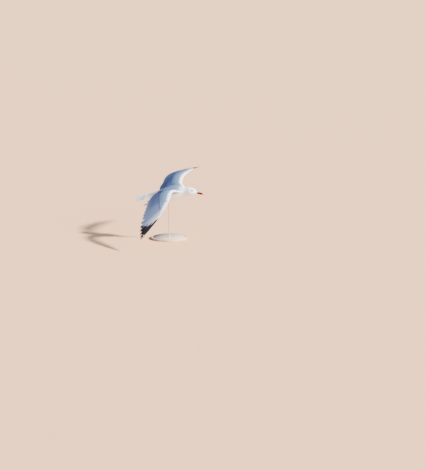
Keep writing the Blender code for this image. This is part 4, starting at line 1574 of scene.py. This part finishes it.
def over_wing(x, y, face):
    """Height of the wing's upper (1) or lower (-1) side over a place near the body, falling away
    beyond its front and rear edges."""
    along = np.interp(np.abs(y), SPAN[1], SPAN[0])
    back = through(WING_OUTLINE, 1, along) - x
    for _ in range(6):  # the place on the wing that is over x, found in a few steps
        place = np.clip(back, 0, chord_at(along))
        at = wing_surface(1, along, place, face, 0.0)
        back = place + at[..., 0] - x
    return at[..., 2] - face * 1.2 * np.abs(at[..., 0] - x)


def buried(x, y, z):
    """Whether places on the body lie inside the root of a wing."""
    inside = (z < over_wing(x, y, 1) - 0.002) & (z > over_wing(x, y, -1) + 0.002)
    return inside & (np.abs(y) > 0.027) & (x < 0.055) & (x > -0.118)


def from_eye(points):
    """How far points are from the line of the nearer eye's gaze."""
    found = np.full(len(points), np.inf)
    for side in (1, -1):
        middle, ahead = eye_line(side)
        gaze = (ahead - middle) / np.linalg.norm(ahead - middle)
        depth = (points - middle) @ gaze
        apart = np.linalg.norm(points - middle - depth[:, None] * gaze, axis=1)
        found = np.where(depth > 0, np.minimum(found, apart), found)
    return found


def room_by_eye(x, angle, length, width, clear):
    """The share of each feather that stays outside a circle round the eye, `clear` from its middle:
    nothing for roots inside it, and all of it elsewhere. It is tried at nine places along."""
    share = np.linspace(0, 1, 9)
    along = body_surface(x[:, None] - share * length[:, None], angle[:, None] + 0 * share, 0.0)
    inside = from_eye(along.reshape(-1, 3)).reshape(-1, 9) < (clear + width / 2)[:, None]
    return np.where(inside.any(axis=1), share[np.maximum(inside.argmax(axis=1) - 1, 0)], 1.0)


# Pieces: first and last station, feather sizes, how near an eye's middle they come at most and how
# much that varies, how far from it they reach, and how each feather is made.
for title, first, last, sizes, clear, vary, within, make in (
    ("coat_face", 0.1618, 0.1180, COAT_SIZES, 0.0064, 0.0026, np.inf, FINE_MAKE),
    ("coat_eyes", 0.1460, 0.1160, EYE_SIZES, 0.0052, 0.0002, 0.0114, FINE_MAKE),
    ("coat_head", 0.1180, 0.0750, COAT_SIZES, 0.0062, 0.0034, np.inf, FINE_MAKE),
    ("coat_front", 0.0750, -0.0300, COAT_SIZES, 0.0062, 0.0, np.inf, BROAD_MAKE),
    ("coat_rear", -0.0300, -0.1950, COAT_SIZES, 0.0062, 0.0, np.inf, BROAD_MAKE),
):
    chance = np.random.default_rng(5)
    x, angle = coat_roots(first, last, sizes)
    roots = body_surface(x, angle, 0.0)
    keep = ~buried(roots[..., 0], roots[..., 1], roots[..., 2]) & (from_eye(roots) <= within)
    x, angle = x[keep], angle[keep]
    length = through(sizes, 1, x) * chance.uniform(0.90, 1.10, len(x))
    width = through(sizes, 2, x) * chance.uniform(1.05, 1.25, len(x))
    room = room_by_eye(x, angle, length, width, clear + chance.uniform(0, vary, len(x)))
    x, angle, length, width = (
        values[room > LEAST_ROOM] for values in (x, angle, length * room, width)
    )
    depth = np.minimum(through(BODY, 5, x) * 0.75, 0.3 * length)
    stray = chance.normal(0, 0.10, len(x))
    feathers = coat(
        lambda p, q: body_surface(p, q, 0.0), -1, x, angle, (-np.cos(stray), np.sin(stray)),
        length, width, depth, chance.uniform(-0.01, 0.02, len(x)) * width,
        chance.normal(0, 0.03, len(x)) * width, make,
    )
    grey = mantle_share(body_surface(x - 0.8 * length, angle, 0.0))[:, None]
    colours = (WHITE * (1 - grey) + PEARL_GREY_WITH_SHADE * grey) * chance.uniform(0.975, 1.02, (len(x), 1))
    piece = coat_piece(
        title, feathers, make, (x + 0.21) / 0.38, angle / (2 * np.pi), colours[:, None]
    )
    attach(piece, "root")


# ----------------------------------------------------------------------------------- thigh feathers
# Short white feathers on the part of each thigh that comes out of the body. They are rooted in its
# skin, lie along it, and end just past the heel.

THIGH_FROM = 0.15
THIGH_FEATHERS = 190
THIGH_DEPTH = 0.0012
THIGH_MAKE = (6, 4, 0.00015, 0.03, 2.2)

for word, side in (("left", 1), ("right", -1)):
    chance = np.random.default_rng(31 + side)
    number = np.arange(THIGH_FEATHERS)
    share = THIGH_FROM + (0.99 - THIGH_FROM) * (number + 0.5) / THIGH_FEATHERS
    turn = (number * GOLDEN_TURN) % (2 * np.pi)
    length = 0.0125 - 0.0065 * share
    stray = chance.normal(0, 0.08, THIGH_FEATHERS)
    feathers = coat(
        lambda p, q: thigh_surface(side, p, q, 0.0010), 1, share, turn, (np.cos(stray), np.sin(stray)),
        length, 0.42 * length, THIGH_DEPTH + 0 * share, 0 * share, 0 * share, THIGH_MAKE,
    )
    thigh_coat = coat_piece(
        f"coat_thigh_{word}", feathers, THIGH_MAKE, 0.02 + 0.1 * share,
        0.5 + side * (0.36 + turn / 60), WHITE,
    )
    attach(thigh_coat, "root")


# -------------------------------------------------------------------------------------- scapulars
# Long feathers of the shoulder that close the angle between back and wing. They are rooted in the skin
# of the shoulder and lie over a saddle that blends body and wing.

# Rows: x and distance from the midline of the first and last root, count, and feather length there.
SCAPULAR_ROWS = np.array(
    [
        (0.046, 0.024, -0.040, 0.0160, 22, 0.015, 0.038),
        (0.042, 0.029, -0.044, 0.0220, 22, 0.015, 0.044),
        (0.037, 0.034, -0.048, 0.0285, 22, 0.015, 0.050),
        (0.031, 0.039, -0.052, 0.0350, 21, 0.016, 0.054),
        (0.025, 0.044, -0.056, 0.0420, 20, 0.017, 0.056),
        (0.018, 0.050, -0.058, 0.0490, 19, 0.018, 0.054),
    ]
)
SADDLE_ROUND = 0.012
SCAPULAR_DEPTH = 0.0030
SCAPULAR_MAKE = (9, 7, 0.00040, 0.05, 1.0)


def over_body(x, y):
    """Height of the back over a place, falling away beyond the body's sides."""
    half, middle = through(BODY, 3, x), body_middle(x)
    share = np.clip(np.abs(y) / half, 0, 0.9995)
    rise = (1 - share ** (2 / OVAL_POWER)) ** (OVAL_POWER / 2)
    return middle + ((through(BODY, 1, x) - middle) * rise - 1.5 * np.maximum(np.abs(y) - half, 0))


def saddle(x, y):
    """The blend of body and wing: the higher of the two, rounded where they meet."""
    body, wing = over_body(x, y), over_wing(x, y, 1)
    share = np.clip(0.5 + 0.5 * (body - wing) / SADDLE_ROUND, 0, 1)
    z = wing + (body - wing) * share + SADDLE_ROUND * share * (1 - share)
    return np.stack([x + 0 * y, y + 0 * x, z], axis=-1)


def shoulder_roots(rows):
    """Staggered rows of roots, each a straight line of evenly spaced places."""
    found = []
    for number, (x0, y0, x1, y1, count, first, last) in enumerate(rows):
        t = (np.arange(int(count)) + 0.5 * (number % 2)) / int(count)
        found.append(
            np.column_stack([x0 + (x1 - x0) * t, y0 + (y1 - y0) * t, first + (last - first) * t])
        )
    return np.concatenate(found).T


chance = np.random.default_rng(24)
x, y, length = shoulder_roots(SCAPULAR_ROWS)
x, y = np.tile(x, 2), np.concatenate([y, -y])
length = np.tile(length, 2) * chance.uniform(0.95, 1.05, len(x))
sweep = 9 + 12 * smooth_step(0.034, 0.056, x)
angle = np.radians(sweep) * np.sign(y) + chance.normal(0, 0.04, len(x))
feathers = coat(
    saddle, 1, x, y, (-np.cos(angle), np.sin(angle)), length, 0.0044 + 0.17 * length,
    SCAPULAR_DEPTH + 0 * x, 0.0004 + chance.uniform(0, 0.0004, len(x)),
    chance.normal(0, 0.0005, len(x)), SCAPULAR_MAKE,
)
grey = smooth_step(0.054, 0.036, x - 0.7 * length)[:, None]
colours = (WHITE * (1 - grey) + PEARL_GREY_WITH_SHADE * grey) * chance.uniform(0.97, 1.03, (len(x), 1))
scapulars = coat_piece(
    "scapulars", feathers, SCAPULAR_MAKE, (x + 0.15) / 0.25, 0.5 + y / 0.25, colours[:, None]
)
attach(scapulars, "root")


# ------------------------------------------------------------------------------------------ room
# A plain pale floor under a warm key light from ahead of the bird, a weak broad light from its right
# front, and a cool even fill. It is seen from its right side and a little above.

FLOOR_REACH = 60.0
FLOOR_COLOUR = (0.738, 0.412, 0.217)
# Each light: strength, colour, how wide it is in degrees, then its direction from the bird: degrees
# from the front towards its left, and degrees up.
LIGHTS = {
    "key": (18.0, (1.0, 0.95, 0.88), 5, 8, 32.5),
    "side": (6.5, (1.0, 1.0, 1.0), 50, -20, 12),
}
ROOM_COLOUR = (0.28, 0.52, 1.0)
ROOM_STRENGTH = 0.70
VIEW_AZIMUTH = math.radians(25)
VIEW_ELEVATION = math.radians(10)
VIEW_DISTANCE = 12.2
LENS = 140.6
LOOK_ASIDE = 0.249  # the camera looks this far to the right of the bird
LOOK_BELOW = 0.286


def pale_floor():
    """Even matt plaster with a faint fine grain."""
    material, tree, shader = new_material("pale_floor", 0.9)
    grain = texture_node(tree, "ShaderNodeTexNoise", Scale=300.0, Detail=3.0)
    darker = tuple(0.94 * c for c in FLOOR_COLOUR)
    colour = blend_node(tree, grain.outputs["Fac"], FLOOR_COLOUR, darker)
    tree.links.new(colour, shader.inputs["Base Color"])
    return material


floor_corners = np.array([(-1, -1), (1, -1), (1, 1), (-1, 1)]) * FLOOR_REACH
floor_points = np.concatenate([floor_corners, np.full((4, 1), -0.0002)], axis=1)
floor = mesh_piece("floor", floor_points, np.array([[0, 1, 2, 3]]), pale_floor())
floor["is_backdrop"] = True

for title, (strength, colour, wide, azimuth, elevation) in LIGHTS.items():
    light = bpy.data.lights.new(title, "SUN")
    light.energy = strength
    light.color = colour
    light.angle = math.radians(wide)
    lamp = bpy.data.objects.new(title, light)
    bpy.context.scene.collection.objects.link(lamp)
    turn, rise = math.radians(azimuth), math.radians(elevation)
    towards = Vector((math.cos(turn), math.sin(turn), math.tan(rise)))
    lamp.rotation_euler = towards.to_track_quat("Z", "Y").to_euler()

world = bpy.data.worlds.new("room")
world.use_nodes = True
world.node_tree.nodes["Background"].inputs["Color"].default_value = (*ROOM_COLOUR, 1)
world.node_tree.nodes["Background"].inputs["Strength"].default_value = ROOM_STRENGTH
bpy.context.scene.world = world

target = Vector(on_stand(np.zeros(3)))
towards_camera = Vector(
    (
        math.sin(VIEW_AZIMUTH) * math.cos(VIEW_ELEVATION),
        -math.cos(VIEW_AZIMUTH) * math.cos(VIEW_ELEVATION),
        math.sin(VIEW_ELEVATION),
    )
)
right = Vector((math.cos(VIEW_AZIMUTH), math.sin(VIEW_AZIMUTH), 0))
above = right.cross(-towards_camera)
aim = target + right * LOOK_ASIDE - above * LOOK_BELOW
lens = bpy.data.cameras.new("camera")
lens.lens = LENS
lens.sensor_width = 36
lens.clip_end = 200
camera = bpy.data.objects.new("camera", lens)
camera.location = target + towards_camera * VIEW_DISTANCE
camera.rotation_euler = (aim - camera.location).to_track_quat("-Z", "Y").to_euler()
bpy.context.scene.collection.objects.link(camera)
bpy.context.scene.camera = camera

visual_low, visual_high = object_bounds()
sizes = {"cad": [list(cad_low), list(cad_high)], "visual": [list(visual_low), list(visual_high)]}
